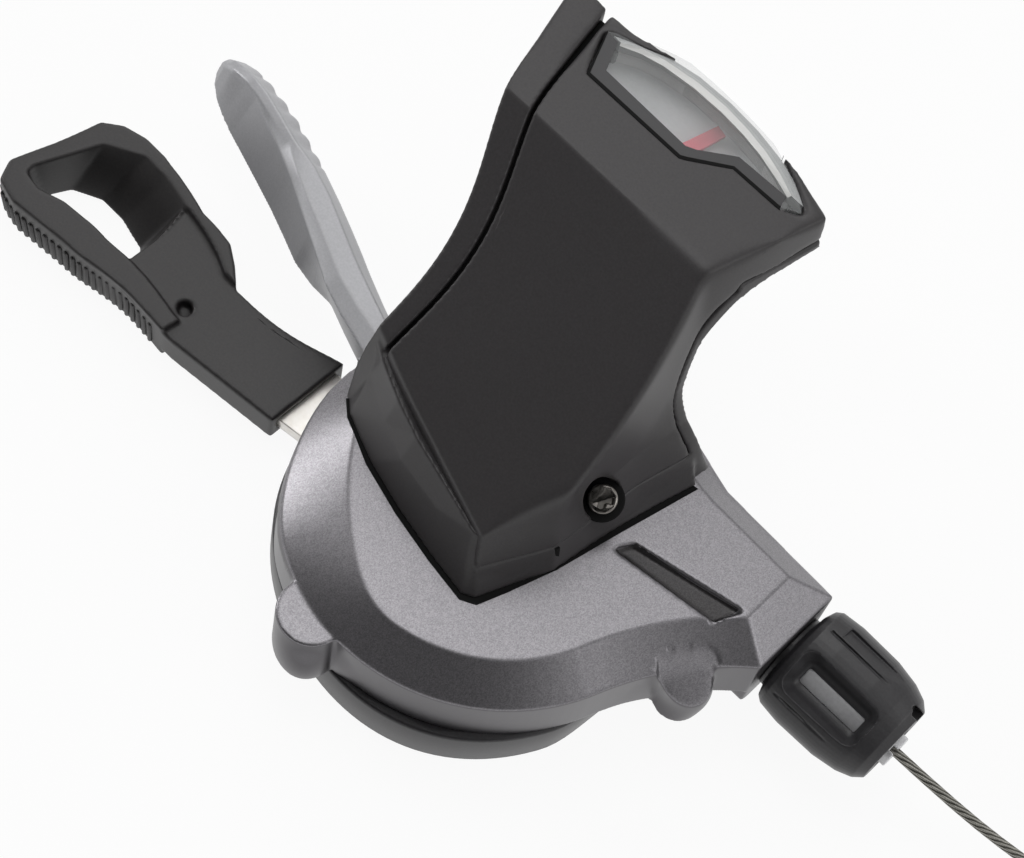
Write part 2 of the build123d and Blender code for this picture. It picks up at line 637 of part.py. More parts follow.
# Release lever: a flat arm on its own pin, with a deep leaning face for the thumb and a serrated finger edge.
with BuildPart() as release_pin:
    with BuildSketch(level(RELEASE_Z - STACK_GAP)):
        with Locations((RELEASE_X, RELEASE_Y)):
            Circle(0.5 * RELEASE_PIN_D)
    extrude(amount=base_z + BASE_T - RELEASE_Z + STACK_GAP)
release_pin.part.label = "release_pin"
export_step(release_pin.part, "parts/release_pin.step")

release_top = RELEASE_Z + RELEASE_T
with BuildPart() as release_lever:
    with BuildSketch(turned(RELEASE_Z, RELEASE_ANGLE, RELEASE_X, RELEASE_Y)):
        Circle(RELEASE_PIN_D + 1.2)
        with BuildLine():
            Polyline(*ARM_LEFT, *ARM_RIGHT, close=True)
        make_face()
    extrude(amount=RELEASE_T)
    with BuildSketch(turned(release_top, RELEASE_ANGLE, RELEASE_X, RELEASE_Y)):
        with BuildLine():
            Polyline(*FACE_TOP_LEFT, *FACE_TOP_RIGHT, close=True)
        make_face()
    with BuildSketch(turned(RELEASE_Z - RELEASE_WEB, RELEASE_ANGLE, RELEASE_X, RELEASE_Y)):
        with BuildLine():
            Polyline(*FACE_LOW_LEFT, *FACE_LOW_RIGHT, close=True)
        make_face()
    loft(ruled=True)
    with BuildSketch(turned(RELEASE_Z, RELEASE_ANGLE, RELEASE_X, RELEASE_Y)):
        Circle(0.5 * RELEASE_PIN_D + RUN)
    extrude(amount=RELEASE_T, mode=Mode.SUBTRACT)
    with BuildSketch(turned(release_top - 1.3, RELEASE_ANGLE, RELEASE_X, RELEASE_Y)):
        Circle(RELEASE_PIN_D)
    extrude(amount=1.3, mode=Mode.SUBTRACT)
release_lever.part.label = "release_lever"
export_step(release_lever.part, "parts/release_lever.step")

with BuildPart() as release_spring:
    with BuildSketch(level(release_top - 1.2)):
        with Locations((RELEASE_X, RELEASE_Y)):
            RegularPolygon(0.5 * RELEASE_PIN_D + 1.2, 16)
            RegularPolygon(0.5 * RELEASE_PIN_D + 0.5, 16, mode=Mode.SUBTRACT)
    extrude(amount=1.2)
release_spring.part.label = "release_spring"
export_step(release_spring.part, "parts/release_spring.step")

# Inner wire: through the adjuster, round the guide, on to the drum; and the turn that is wound on it.
guide_turn = degrees(
    asin((DRUM_PITCH_R + GUIDE_BEND_R) / hypot(GUIDE_X, CABLE_Y - GUIDE_BEND_R))
    + atan2(CABLE_Y - GUIDE_BEND_R, GUIDE_X)
)
bend_end = (
    GUIDE_X - GUIDE_BEND_R * sin(radians(guide_turn)),
    CABLE_Y - GUIDE_BEND_R * (1 - cos(radians(guide_turn))),
)
drum_touch = polar(DRUM_PITCH_R, guide_turn - 90)
wire_out = NOSE_X + BARREL_L + 0.9


def wire_way(bore):
    """The wire's way from the adjuster's end to the drum, as a rod of that bore."""
    with BuildPart() as rod:
        with BuildLine(level(CABLE_Z)) as way:
            Line((wire_out, CABLE_Y), (GUIDE_X, CABLE_Y))
            CenterArc((GUIDE_X, CABLE_Y - GUIDE_BEND_R), GUIDE_BEND_R, 90, guide_turn)
            Line(bend_end, drum_touch)
        with BuildSketch(Plane(way.line @ 0, z_dir=way.line % 0)):
            Circle(0.5 * bore)
        sweep()
    return rod.part


with BuildPart() as inner_wire:
    add(wire_way(WIRE_D))
inner_wire.part.label = "inner_wire"
export_step(inner_wire.part, "parts/inner_wire.step")

with BuildPart() as cable_guide:
    with BuildSketch(level(SEAM_Z)):
        with Locations((NOSE_X - NOSE_L, CABLE_Y - 0.5)):
            Rectangle(7.0, 7.0, align=(Align.MAX, Align.CENTER))
    extrude(amount=2 * (CABLE_Z - SEAM_Z) + 0.7)
    add(wire_way(GUIDE_BORE), mode=Mode.SUBTRACT)
cable_guide.part.label = "cable_guide"
export_step(cable_guide.part, "parts/cable_guide.step")

with BuildPart() as wound_wire:
    with BuildLine(level(CABLE_Z)) as turn:
        CenterArc((0, 0), DRUM_PITCH_R, 216, guide_turn + 270 - 216)
    with BuildSketch(Plane(turn.line @ 0, z_dir=turn.line % 0)):
        Circle(0.5 * WIRE_D)
    sweep()
wound_wire.part.label = "wound_wire"
export_step(wound_wire.part, "parts/wound_wire.step")

# Springs: one under the main lever, one over the drum, each a flat coil of a few turns.
spring_levels = {"lever_spring": WALL + 0.05, "drum_spring": drum_top + STACK_GAP}
for name, spring_z in spring_levels.items():
    with BuildPart() as spring:
        with BuildSketch(level(spring_z)):
            RegularPolygon(SPRING_R, 16)
            RegularPolygon(SPRING_R - SPRING_T, 16, mode=Mode.SUBTRACT)
        extrude(amount=SPRING_H)
    spring.part.label = name
    export_step(spring.part, f"parts/{name}.step")

# Cable adjuster: a silver bolt in the arm's nose, and the winged barrel that turns it.
with BuildPart() as adjuster_bolt:
    with BuildSketch(across(NOSE_X - 5.0)):
        with Locations((CABLE_Y, CABLE_Z)):
            Circle(0.5 * BOLT_D)
            Circle(0.5 * WIRE_D + 0.3, mode=Mode.SUBTRACT)
    extrude(amount=BOLT_L)
adjuster_bolt.part.label = "adjuster_bolt"
export_step(adjuster_bolt.part, "parts/adjuster_bolt.step")

wing_plane = Plane(
    (AXLE_X + NOSE_X, AXLE_Y + CABLE_Y, FLOOR_Z + CABLE_Z),
    x_dir=(1, 0, 0),
    z_dir=(0, cos(radians(SLOT_ANGLE)), sin(radians(SLOT_ANGLE))),
)
wing_half = [
    (COLLAR_T, WING_R),
    (WING_L, WING_R),
    (BARREL_L - 1.5, WING_R - 1.3),
    (BARREL_L, BARREL_END_R),
]
with BuildPart() as adjuster_barrel:
    with BuildSketch(across(NOSE_X)):
        with Locations((CABLE_Y, CABLE_Z)):
            Circle(COLLAR_R)
    extrude(amount=COLLAR_T)
    with BuildSketch(across(NOSE_X + COLLAR_T)):
        with Locations((CABLE_Y, CABLE_Z)):
            Circle(BARREL_R)
    extrude(
        amount=BARREL_L - COLLAR_T,
        taper=degrees(atan2(BARREL_R - BARREL_END_R, BARREL_L - COLLAR_T)),
    )
    with BuildSketch(wing_plane.offset(-0.55 * WING_T)):
        with BuildLine():
            Polyline(*wing_half, *[(x, -y) for x, y in reversed(wing_half)], close=True)
        make_face()
    extrude(amount=WING_T)
    with BuildSketch(across(NOSE_X)):
        with Locations((CABLE_Y, CABLE_Z)):
            Circle(0.5 * BOLT_D + RUN)
    extrude(amount=BARREL_L, mode=Mode.SUBTRACT)
    with BuildSketch(across(NOSE_X + 0.3 * BARREL_L)):
        with Locations(Location((CABLE_Y, CABLE_Z), SLOT_ANGLE)):
            Rectangle(2 * BARREL_R, SLOT_W, align=(Align.MIN, Align.CENTER))
    extrude(amount=0.58 * BARREL_L, mode=Mode.SUBTRACT)
adjuster_barrel.part.label = "adjuster_barrel"
export_step(adjuster_barrel.part, "parts/adjuster_barrel.step")


# Display: one form, a ramp that climbs over the bar to a flat head, made as two shells.
def display_form(inset):
    """The display's outer form for inset 0, and the hollow inside it for a wall's inset."""
    slope = tan(radians(RAMP_SLOPE))
    low = RIM_Z - 1.0
    head = HEAD_Z - inset
    front_y = -16.0
    ramp_drop = inset / cos(radians(RAMP_SLOPE))
    ridge_y = RIDGE_Y + (ramp_drop - inset) / slope
    front_z = head - (ridge_y - front_y) * slope
    room = BAR_ROOM + inset
    bar = (-AXLE_Y, -FLOOR_Z)
    foot_rise = bar[1] - low
    foot = (bar[0] - sqrt(room * room - foot_rise * foot_rise), low)
    floor = HEAD_FLOOR_Z if inset else bar[1] + room
    end_y = HEAD_END_Y - inset
    over = (bar[0] - sqrt(max(room * room - (floor - bar[1]) ** 2, 0.0)), floor)
    with BuildPart() as form:
        with BuildSketch(across(-40)):
            with BuildLine():
                Polyline(foot, (front_y, low), (front_y, front_z), (ridge_y, head), (end_y, head), (end_y, floor), over)
                ThreePointArc(over, (bar[0] - room * cos(radians(25)), bar[1] + room * sin(radians(25))), foot)
            make_face()
        extrude(amount=70)
        front = inset
        with BuildSketch(level(low)):
            with BuildLine():
                Polyline(
                    (-19.0 + inset, -5.7 + front),
                    (8.0 - inset, -13.1 + front),
                    (11.6 - inset, -4.0),
                    (16.0 - inset, 18.0),
                    (16.0 - inset, 45.0),
                    (-32.0 + inset, 45.0),
                    (-19.0 + inset, -5.7 + front),
                )
            make_face()
        with BuildSketch(level(27.6)):
            with BuildLine():
                Polyline(
                    (-19.6 + inset, -3.2 + front),
                    (4.6 - inset, -9.4 + front),
                    (9.0 - inset, -2.0),
                    (9.4 - inset, 18.0),
                    (10.0 - inset, 45.0),
                    (-32.0 + inset, 45.0),
                    (-19.6 + inset, -3.2 + front),
                )
            make_face()
        with BuildSketch(level(HEAD_Z + 5)):
            with BuildLine():
                Polyline(
                    (-20.0 + inset, 2.0 + front),
                    (-2.0 - inset, -3.0 + front),
                    (7.5 - inset, 3.0),
                    (2.4 - inset, 21.6),
                    (11.0 - inset, 45.0),
                    (-32.0 + inset, 45.0),
                    (-20.0 + inset, 2.0 + front),
                )
            make_face()
        loft(ruled=True, mode=Mode.INTERSECT)
        with BuildSketch(level(low)):
            with BuildLine():
                left_end = (-31.0, 35.4 - inset)
                right_end = (14.0, 33.6 - inset)
                ThreePointArc(left_end, (-11.0, 38.3 - inset), right_end)
                Polyline(right_end, (20.0, -20.0), (-31.0, -20.0), left_end)
            make_face()
        extrude(amount=50, mode=Mode.INTERSECT)
    return form.part


seam_front = (-16.3, -8.0)
seam_back = (-25.6, 40.0)


def left_side(shift):
    """The region left of the seam between the display's two shells, moved right by shift."""
    with BuildPart() as region:
        with BuildSketch(level(0)):
            with BuildLine():
                Polyline(
                    (seam_front[0] + shift, seam_front[1] - 20),
                    (seam_front[0] + shift, seam_front[1]),
                    (seam_back[0] + shift, seam_back[1]),
                    (seam_back[0] + shift, seam_back[1] + 20),
                    (-60, seam_back[1] + 20),
                    (-60, seam_front[1] - 20),
                    (seam_front[0] + shift, seam_front[1] - 20),
                )
            make_face()
        extrude(amount=60)
    return region.part


def under_side(grow):
    """The region near the bar and round the foot, which belongs to the rear housing."""
    with BuildPart() as region:
        with BuildSketch(across(-50)):
            with Locations((-AXLE_Y, -FLOOR_Z)):
                Circle(BAR_ROOM + DISPLAY_WALL + grow)
            with Locations((0, 0)):
                Rectangle(200, 23.0 + grow, align=(Align.CENTER, Align.MIN))
            with Locations((25.0, 0)):
                Rectangle(100, HEAD_FLOOR_Z + grow, align=(Align.MIN, Align.MIN))
        extrude(amount=100)
    return region.part


screw_plane = Plane(
    (AXLE_X + 9.9, AXLE_Y + 4.4, FLOOR_Z + 24.9),
    x_dir=(0, 1, 0),
    z_dir=(0.94, -0.06, 0.31),
)
with BuildPart() as screw_room:
    with BuildSketch(screw_plane.offset(-0.9)):
        Circle(DISPLAY_SCREW_R + 0.3)
    extrude(amount=4.0)
    with BuildSketch(screw_plane.offset(-0.9)):
        Circle(0.5 * SCREW_D + RUN)
    extrude(amount=-5.0)

display_outer = display_form(0)
display_hollow = display_form(DISPLAY_WALL)

with BuildPart() as display_rear_housing:
    add(left_side(0))
    add(under_side(0))
    add(display_outer, mode=Mode.INTERSECT)
    add(display_hollow, mode=Mode.SUBTRACT)
    add(upper_form.part, mode=Mode.SUBTRACT)
    with BuildSketch(level(0)):
        Rectangle(2 * FAR_AWAY, 2 * FAR_AWAY)
    extrude(amount=RIM_Z, mode=Mode.SUBTRACT)
    with BuildSketch(level(0)):
        with Locations((0, BACK_Y - 0.2)):
            Rectangle(2 * FAR_AWAY, FAR_AWAY, align=(Align.CENTER, Align.MIN))
    extrude(amount=TOP_Z, mode=Mode.SUBTRACT)
    with BuildSketch(level(0)):
        with Locations((-AXLE_X, BACK_Y + 0.1)):
            Rectangle(CLAMP_W + 2 * GAP, FAR_AWAY, align=(Align.CENTER, Align.MIN))
    extrude(amount=-FLOOR_Z - 0.4 * clamp_r, mode=Mode.SUBTRACT)
    with BuildSketch(level(HEAD_FLOOR_Z - 2.2)):
        with Locations((NEEDLE_X, NEEDLE_Y)):
            Circle(0.5 * NEEDLE_PIN_D + 1.0)
    extrude(amount=NEEDLE_Z - HEAD_FLOOR_Z + 2.1)
    with BuildSketch(level(HEAD_FLOOR_Z - 1.8)):
        with Locations((NEEDLE_X, NEEDLE_Y)):
            Circle(0.5 * NEEDLE_PIN_D)
    extrude(amount=NEEDLE_Z, mode=Mode.SUBTRACT)
    add(screw_room.part, mode=Mode.SUBTRACT)
display_rear_housing.part.label = "display_rear_housing"
export_step(display_rear_housing.part, "parts/display_rear_housing.step")

with BuildPart() as window_opening:
    with BuildSketch(level(HEAD_FLOOR_Z)):
        with BuildLine():
            ThreePointArc(WINDOW_LEFT, WINDOW_FAR, WINDOW_RIGHT)
            Polyline(WINDOW_RIGHT, *WINDOW_NEAR, WINDOW_LEFT)
        make_face()
    extrude(amount=HEAD_Z - HEAD_FLOOR_Z + 0.2)

with BuildPart() as display_front_cover:
    add(display_outer)
    add(display_hollow, mode=Mode.SUBTRACT)
    add(left_side(SEAM_GAP), mode=Mode.SUBTRACT)
    add(under_side(0), mode=Mode.SUBTRACT)
    add(upper_form.part, mode=Mode.SUBTRACT)
    add(window_opening.part, mode=Mode.SUBTRACT)
    add(screw_room.part, mode=Mode.SUBTRACT)
display_front_cover.part.label = "display_front_cover"
export_step(display_front_cover.part, "parts/display_front_cover.step")

# Window lens: a clear slab with a rim down its far side.
with BuildPart() as window_lens:
    with BuildSketch(level(HEAD_FLOOR_Z)):
        with BuildLine():
            left_end = (WINDOW_LEFT[0] + LENS_GAP, WINDOW_LEFT[1] - 0.5 * LENS_GAP)
            right_end = (WINDOW_RIGHT[0] - 1.5 * LENS_GAP, WINDOW_RIGHT[1] - 0.5 * LENS_GAP)
            near_left = (WINDOW_NEAR[-1][0] + LENS_GAP, WINDOW_NEAR[-1][1] + LENS_GAP)
            near_rest = [(x - 0.5 * LENS_GAP, y + LENS_GAP) for x, y in WINDOW_NEAR[:-1]]
            ThreePointArc(left_end, (WINDOW_FAR[0], WINDOW_FAR[1] - LENS_GAP), right_end)
            Polyline(right_end, *near_rest, near_left, left_end)
        make_face()
    extrude(amount=HEAD_Z - HEAD_FLOOR_Z - 0.15)
    add(display_outer, mode=Mode.INTERSECT)
    add(display_hollow, mode=Mode.SUBTRACT)
window_lens.part.label = "window_lens"
export_step(window_lens.part, "parts/window_lens.step")

with BuildPart() as dial_plate:
    with BuildSketch(level(HEAD_FLOOR_Z)):
        with BuildLine():
            Polyline(
                (-20.8, 29.4),
                (-7.6, 29.4),
                (-3.0, 32.4),
                (2.8, 32.6),
                (2.8, 33.6),
                (-6.0, 35.8),
                (-16.0, 35.8),
                (-22.0, 33.6),
                (-20.8, 29.4),
            )
        make_face()
    extrude(amount=DIAL_T)
dial_plate.part.label = "dial_plate"
export_step(dial_plate.part, "parts/dial_plate.step")

# Needle, its shaft, and the bent link that carries the drum's turn up to it.
needle_tail = (NEEDLE_X + crank[0], NEEDLE_Y + crank[1])
with BuildPart() as needle_shaft:
    with BuildSketch(level(HEAD_FLOOR_Z - 1.8)):
        with Locations((NEEDLE_X, NEEDLE_Y)):
            Circle(0.5 * NEEDLE_PIN_D)
    extrude(amount=NEEDLE_Z - HEAD_FLOOR_Z + 2.6)
needle_shaft.part.label = "needle_shaft"
export_step(needle_shaft.part, "parts/needle_shaft.step")

with BuildPart() as needle:
    with BuildSketch(level(NEEDLE_Z)):
        with Locations((NEEDLE_X, NEEDLE_Y)):
            Circle(NEEDLE_PIN_D)
        with Locations(needle_tail):
            Circle(LINK_EYE_R - 0.6)
        make_hull()
        with Locations((NEEDLE_X, NEEDLE_Y)):
            Circle(0.5 * NEEDLE_PIN_D + RUN, mode=Mode.SUBTRACT)
    extrude(amount=0.8)
    with BuildSketch(turned(NEEDLE_Z, NEEDLE_ANGLE, NEEDLE_X, NEEDLE_Y)):
        with BuildLine():
            Polyline((1.2, 1.0), (NEEDLE_L, 0.7), (NEEDLE_L, -0.7), (1.2, -1.0), (1.2, 1.0))
        make_face()
    extrude(amount=0.5)
    with BuildSketch(level(NEEDLE_Z)):
        with Locations(needle_tail):
            Circle(LINK_PEG_R)
    extrude(amount=LINK_HIGH_Z - NEEDLE_Z)
needle.part.label = "needle"
export_step(needle.part, "parts/needle.step")

link_low = (crank[0] - 0.5, crank[1] + 1.2, LINK_LOW_Z + 0.5 * LINK_EYE_T)
link_high = (needle_tail[0] + 0.5, needle_tail[1] - 1.2, LINK_HIGH_Z + 0.5 * LINK_EYE_T)
with BuildPart() as indicator_link:
    with BuildSketch(level(LINK_LOW_Z)):
        with Locations(crank):
            Circle(LINK_EYE_R)
    extrude(amount=LINK_EYE_T)
    with BuildSketch(level(LINK_HIGH_Z)):
        with Locations(needle_tail):
            Circle(LINK_EYE_R)
    extrude(amount=LINK_EYE_T)
    with BuildLine(level(0)) as rod:
        Polyline(link_low, LINK_BEND, link_high)
    with BuildSketch(Plane(rod.line @ 0, z_dir=rod.line % 0)):
        Circle(0.5 * LINK_D)
    sweep(transition=Transition.RIGHT)
    with BuildSketch(level(LINK_LOW_Z)):
        with Locations(crank):
            Circle(0.5 * CRANK_PIN_D + RUN)
    extrude(amount=LINK_EYE_T, mode=Mode.SUBTRACT)
    with BuildSketch(level(LINK_HIGH_Z)):
        with Locations(needle_tail):
            Circle(LINK_PEG_R + 0.2)
    extrude(amount=LINK_EYE_T, mode=Mode.SUBTRACT)
indicator_link.part.label = "indicator_link"
export_step(indicator_link.part, "parts/indicator_link.step")

# Display screw: a cross head, sunk in the right flank.
with BuildPart() as display_screw:
    with BuildSketch(screw_plane.offset(-0.9)):
        Circle(DISPLAY_SCREW_R)
    extrude(amount=0.7)
    with BuildSketch(screw_plane.offset(-0.2)):
        Rectangle(1.6 * DISPLAY_SCREW_R, 0.6)
        Rectangle(0.6, 1.6 * DISPLAY_SCREW_R)
    extrude(amount=-0.4, mode=Mode.SUBTRACT)
    with BuildSketch(screw_plane.offset(-0.9)):
        Circle(0.5 * SCREW_D)
    extrude(amount=-4.0)
display_screw.part.label = "display_screw"
export_step(display_screw.part, "parts/display_screw.step")


# The free wire: straight runs with tangent arcs from the adjuster's end, then a coil on the floor and its tie.
def in_frame(x, y, z):
    return Vector(AXLE_X + x, AXLE_Y + y, FLOOR_Z + z)


wire_points = [in_frame(wire_out, CABLE_Y, CABLE_Z)] + [in_frame(*point) for point in WIRE_POINTS]
wire_radii = []
for before, here, after in zip(wire_points, wire_points[1:], wire_points[2:]):
    half_turn = 0.5 * radians((here - before).get_angle(after - here))
    wire_radii.append(0.45 * min((here - before).length, (after - here).length) / tan(half_turn))
print("wire radii", [round(radius, 1) for radius in wire_radii])

with BuildPart() as wire_tube:
    with BuildLine() as route:
        FilletPolyline(*wire_points, radius=wire_radii)
    with BuildSketch(Plane(route.line @ 0, z_dir=route.line % 0)):
        Circle(0.5 * WIRE_D)
    sweep()
wire_tube.part.label = "wire_tube"
export_step(wire_tube.part, "parts/wire_tube.step")

coil_mid_r = 0.5 * (COIL_IN_R + COIL_OUT_R)
with BuildPart() as wire_coil:
    with BuildSketch(level(COIL_Z)):
        with Locations((COIL_X, COIL_Y)):
            Circle(COIL_OUT_R)
            Circle(COIL_IN_R, mode=Mode.SUBTRACT)
    extrude(amount=COIL_H)
    chamfer(wire_coil.edges().filter_by(GeomType.CIRCLE), 1.6)
wire_coil.part.label = "wire_coil"
export_step(wire_coil.part, "parts/wire_coil.step")

with BuildPart() as coil_tie:
    with BuildSketch(Plane(in_frame(COIL_X - 1.5, COIL_Y, 0), x_dir=(0, 1, 0), z_dir=(1, 0, 0))):
        with Locations((coil_mid_r, COIL_Z + 0.5 * COIL_H)):
            Rectangle(COIL_OUT_R - COIL_IN_R + 1.6, COIL_H + 1.0)
            Rectangle(COIL_OUT_R - COIL_IN_R + 0.6, COIL_H, mode=Mode.SUBTRACT)
    extrude(amount=3.0)
coil_tie.part.label = "coil_tie"
export_step(coil_tie.part, "parts/coil_tie.step")

for node in [upper_cover, lower_cover, display_rear_housing, display_front_cover, window_lens, release_lever]:
    print(node.part.label, len(node.part.solids()), round(node.part.volume, 1))
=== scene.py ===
import bpy
import bmesh
from math import cos, pi, radians, sin
from mathutils import Matrix, Vector


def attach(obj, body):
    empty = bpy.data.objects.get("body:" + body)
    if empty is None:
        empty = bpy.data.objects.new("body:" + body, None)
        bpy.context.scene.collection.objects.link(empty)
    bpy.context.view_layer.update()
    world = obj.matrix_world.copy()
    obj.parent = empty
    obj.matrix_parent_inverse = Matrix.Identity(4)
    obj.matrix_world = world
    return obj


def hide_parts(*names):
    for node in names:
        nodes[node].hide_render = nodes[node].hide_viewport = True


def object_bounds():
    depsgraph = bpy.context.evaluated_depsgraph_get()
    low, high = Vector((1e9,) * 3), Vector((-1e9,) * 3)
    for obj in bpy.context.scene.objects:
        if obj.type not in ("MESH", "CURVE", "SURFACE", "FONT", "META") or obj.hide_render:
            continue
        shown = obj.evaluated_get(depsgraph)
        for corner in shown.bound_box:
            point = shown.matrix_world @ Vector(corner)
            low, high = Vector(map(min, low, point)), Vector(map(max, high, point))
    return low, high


# Studio: a white sweep under the part, with the camera above the rider's seat and to the right, rolled to the left.
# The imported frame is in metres, with the handlebar clamp's bore at the origin.
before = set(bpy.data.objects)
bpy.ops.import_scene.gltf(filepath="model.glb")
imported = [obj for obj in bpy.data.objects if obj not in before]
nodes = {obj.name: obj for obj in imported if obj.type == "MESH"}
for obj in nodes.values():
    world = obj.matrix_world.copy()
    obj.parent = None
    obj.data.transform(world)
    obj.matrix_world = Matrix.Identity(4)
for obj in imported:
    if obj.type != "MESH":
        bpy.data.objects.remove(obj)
cad_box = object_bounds()


def tone(code):
    """A colour written as sRGB hex, as Blender's linear values."""
    channels = [int(code[i:i + 2], 16) / 255 for i in (1, 3, 5)]
    linear = [c / 12.92 if c <= 0.04045 else ((c + 0.055) / 1.055) ** 2.4 for c in channels]
    return (*linear, 1.0)


def node(material, kind, links=(), **values):
    """Adds a shader node, sets its values by attribute or input name, and links (output, input) pairs to it."""
    made = material.node_tree.nodes.new(kind)
    for key, value in values.items():
        if hasattr(made, key):
            setattr(made, key, value)
        else:
            made.inputs[key.replace("_", " ")].default_value = value
    for source, target in links:
        material.node_tree.links.new(source, made.inputs[target])
    return made


turn, rise, roll = radians(29), radians(65), radians(17)
flat_right = Vector((cos(turn), sin(turn), 0))
flat_up = Vector((-sin(turn) * sin(rise), cos(turn) * sin(rise), cos(rise)))
back = Vector((sin(turn) * cos(rise), -cos(turn) * cos(rise), sin(rise)))
right = flat_right * cos(roll) + flat_up * sin(roll)
up = flat_up * cos(roll) - flat_right * sin(roll)
camera = bpy.data.objects.new("camera", bpy.data.cameras.new("camera"))
bpy.context.scene.collection.objects.link(camera)
camera.data.sensor_fit = "HORIZONTAL"
camera.data.sensor_width = 36
camera.data.lens = 36 * 2750 / 1024
camera.data.clip_start = 0.01
camera.matrix_world = Matrix.Translation((0.06979, -0.13593, 0.26506)) @ Matrix((right, up, back)).transposed().to_4x4()
bpy.context.scene.camera = camera
bpy.context.scene.view_settings.view_transform = "Standard"

bpy.ops.object.select_all(action="DESELECT")
bpy.ops.mesh.primitive_plane_add(size=6, location=(0, 0, cad_box[0].z - 0.0001))
floor = bpy.context.object
floor.name = "floor"
paper = bpy.data.materials.new("matt_white_sweep")
paper.use_nodes = True
paper_shader = paper.node_tree.nodes["Principled BSDF"]
paper_shader.inputs["Base Color"].default_value = tone("#e8e8e8")
paper_shader.inputs["Roughness"].default_value = 0.9
seen = node(paper, "ShaderNodeLightPath")
glossy_or_clear = node(
    paper, "ShaderNodeMath", [(seen.outputs["Is Glossy Ray"], 0), (seen.outputs["Is Transmission Ray"], 1)],
    operation="MAXIMUM",
)
any_view = node(
    paper, "ShaderNodeMath", [(seen.outputs["Is Camera Ray"], 0), (glossy_or_clear.outputs[0], 1)],
    operation="MAXIMUM",
)
share = node(paper, "ShaderNodeMath", [(any_view.outputs[0], 0)], operation="MULTIPLY")
share.inputs[1].default_value = 0.93
white = node(paper, "ShaderNodeEmission", Strength=1.0)
mixed = node(
    paper, "ShaderNodeMixShader", [(share.outputs[0], 0), (paper_shader.outputs[0], 1), (white.outputs[0], 2)]
)
paper.node_tree.links.new(mixed.outputs[0], paper.node_tree.nodes["Material Output"].inputs["Surface"])
floor.data.materials.append(paper)

# Studio light: white all round, with a wide dark flag in front that the front slopes mirror,
# and four soft disks: one overhead, and one behind, on the left and on the right.
world = bpy.data.worlds.new("studio")
world.use_nodes = True
bpy.context.scene.world = world
flag_middle, flag_narrowing = (0.02, -0.5, 0.53), (0.4, 0.8, 0.8)
way = node(world, "ShaderNodeTexCoord")
wide = node(world, "ShaderNodeVectorMath", [(way.outputs["Generated"], 0)], operation="MULTIPLY")
wide.inputs[1].default_value = flag_narrowing
far = node(world, "ShaderNodeVectorMath", [(wide.outputs["Vector"], 0)], operation="DISTANCE")
far.inputs[1].default_value = flag_middle
room = node(world, "ShaderNodeValToRGB", [(far.outputs["Value"], "Fac")])
room.color_ramp.elements[0].position = 0.25
room.color_ramp.elements[0].color = tone("#070707")
room.color_ramp.elements[1].position = 0.48
room.color_ramp.elements[1].color = tone("#ffffff")
room.color_ramp.elements.new(0.34).color = tone("#505050")
around = world.node_tree.nodes["Background"]
around.inputs["Strength"].default_value = 0.66
world.node_tree.links.new(room.outputs["Color"], around.inputs["Color"])
open_white = node(world, "ShaderNodeBackground", Strength=1.0)
ray = node(world, "ShaderNodeLightPath")
either = node(
    world, "ShaderNodeMixShader",
    [(ray.outputs["Is Camera Ray"], 0), (around.outputs[0], 1), (open_white.outputs[0], 2)],
)
world.node_tree.links.new(either.outputs[0], world.node_tree.nodes["World Output"].inputs["Surface"])
for name, place, size, watts in (
    ("key_disk", (-0.094, 0.089, 0.55), 0.32, 0.6),
    ("back_disk", (-0.4, 0.5, 0.5), 0.5, 1.0),
    ("left_disk", (-0.56, -0.14, 0.32), 0.2, 0.95),
    ("right_disk", (0.6, 0.15, 0.4), 0.35, 0.6),
):
    lamp = bpy.data.objects.new(name, bpy.data.lights.new(name, "AREA"))
    lamp.data.shape = "DISK"
    lamp.data.size = size
    lamp.data.energy = watts
    lamp.location = place
    lamp.rotation_euler = (Vector((0, -0.02, 0)) - Vector(place)).to_track_quat("-Z", "Y").to_euler()
    bpy.context.scene.collection.objects.link(lamp)

# Handlebar clamp: a forged aluminium band, black anodised, split below and closed by one bolt and its nut.
# Its edges are tumbled soft before anodising, which leaves a dull, slightly grainy black.
MM = 0.001


def take_up(piece):
    """Leaves one piece selected and active, so that operators act on it alone."""
    bpy.ops.object.select_all(action="DESELECT")
    piece.select_set(True)
    bpy.context.view_layer.objects.active = piece


def work(piece, kind, **settings):
    """Adds a modifier to a piece, sets it and applies it."""
    take_up(piece)
    step = piece.modifiers.new(kind.lower(), kind)
    for key, value in settings.items():
        setattr(step, key, value)
    bpy.ops.object.modifier_apply(modifier=step.name)


def shade(piece, angle=35):
    """Smooth shading up to an angle between faces."""
    take_up(piece)
    bpy.ops.object.shade_smooth_by_angle(angle=radians(angle))


def blank_of(name, new_name):
    """A new piece with a CAD node's shape: its triangles merged and its flat faces made whole."""
    piece = bpy.data.objects.new(new_name, nodes[name].data.copy())
    bpy.context.scene.collection.objects.link(piece)
    piece.data.materials.clear()
    take_up(piece)
    bpy.ops.object.mode_set(mode="EDIT")
    bpy.ops.mesh.select_all(action="SELECT")
    bpy.ops.mesh.customdata_custom_splitnormals_clear()
    bpy.ops.mesh.remove_doubles(threshold=0.001 * MM)
    bpy.ops.mesh.dissolve_limited(angle_limit=radians(0.5))
    bpy.ops.object.mode_set(mode="OBJECT")
    return piece


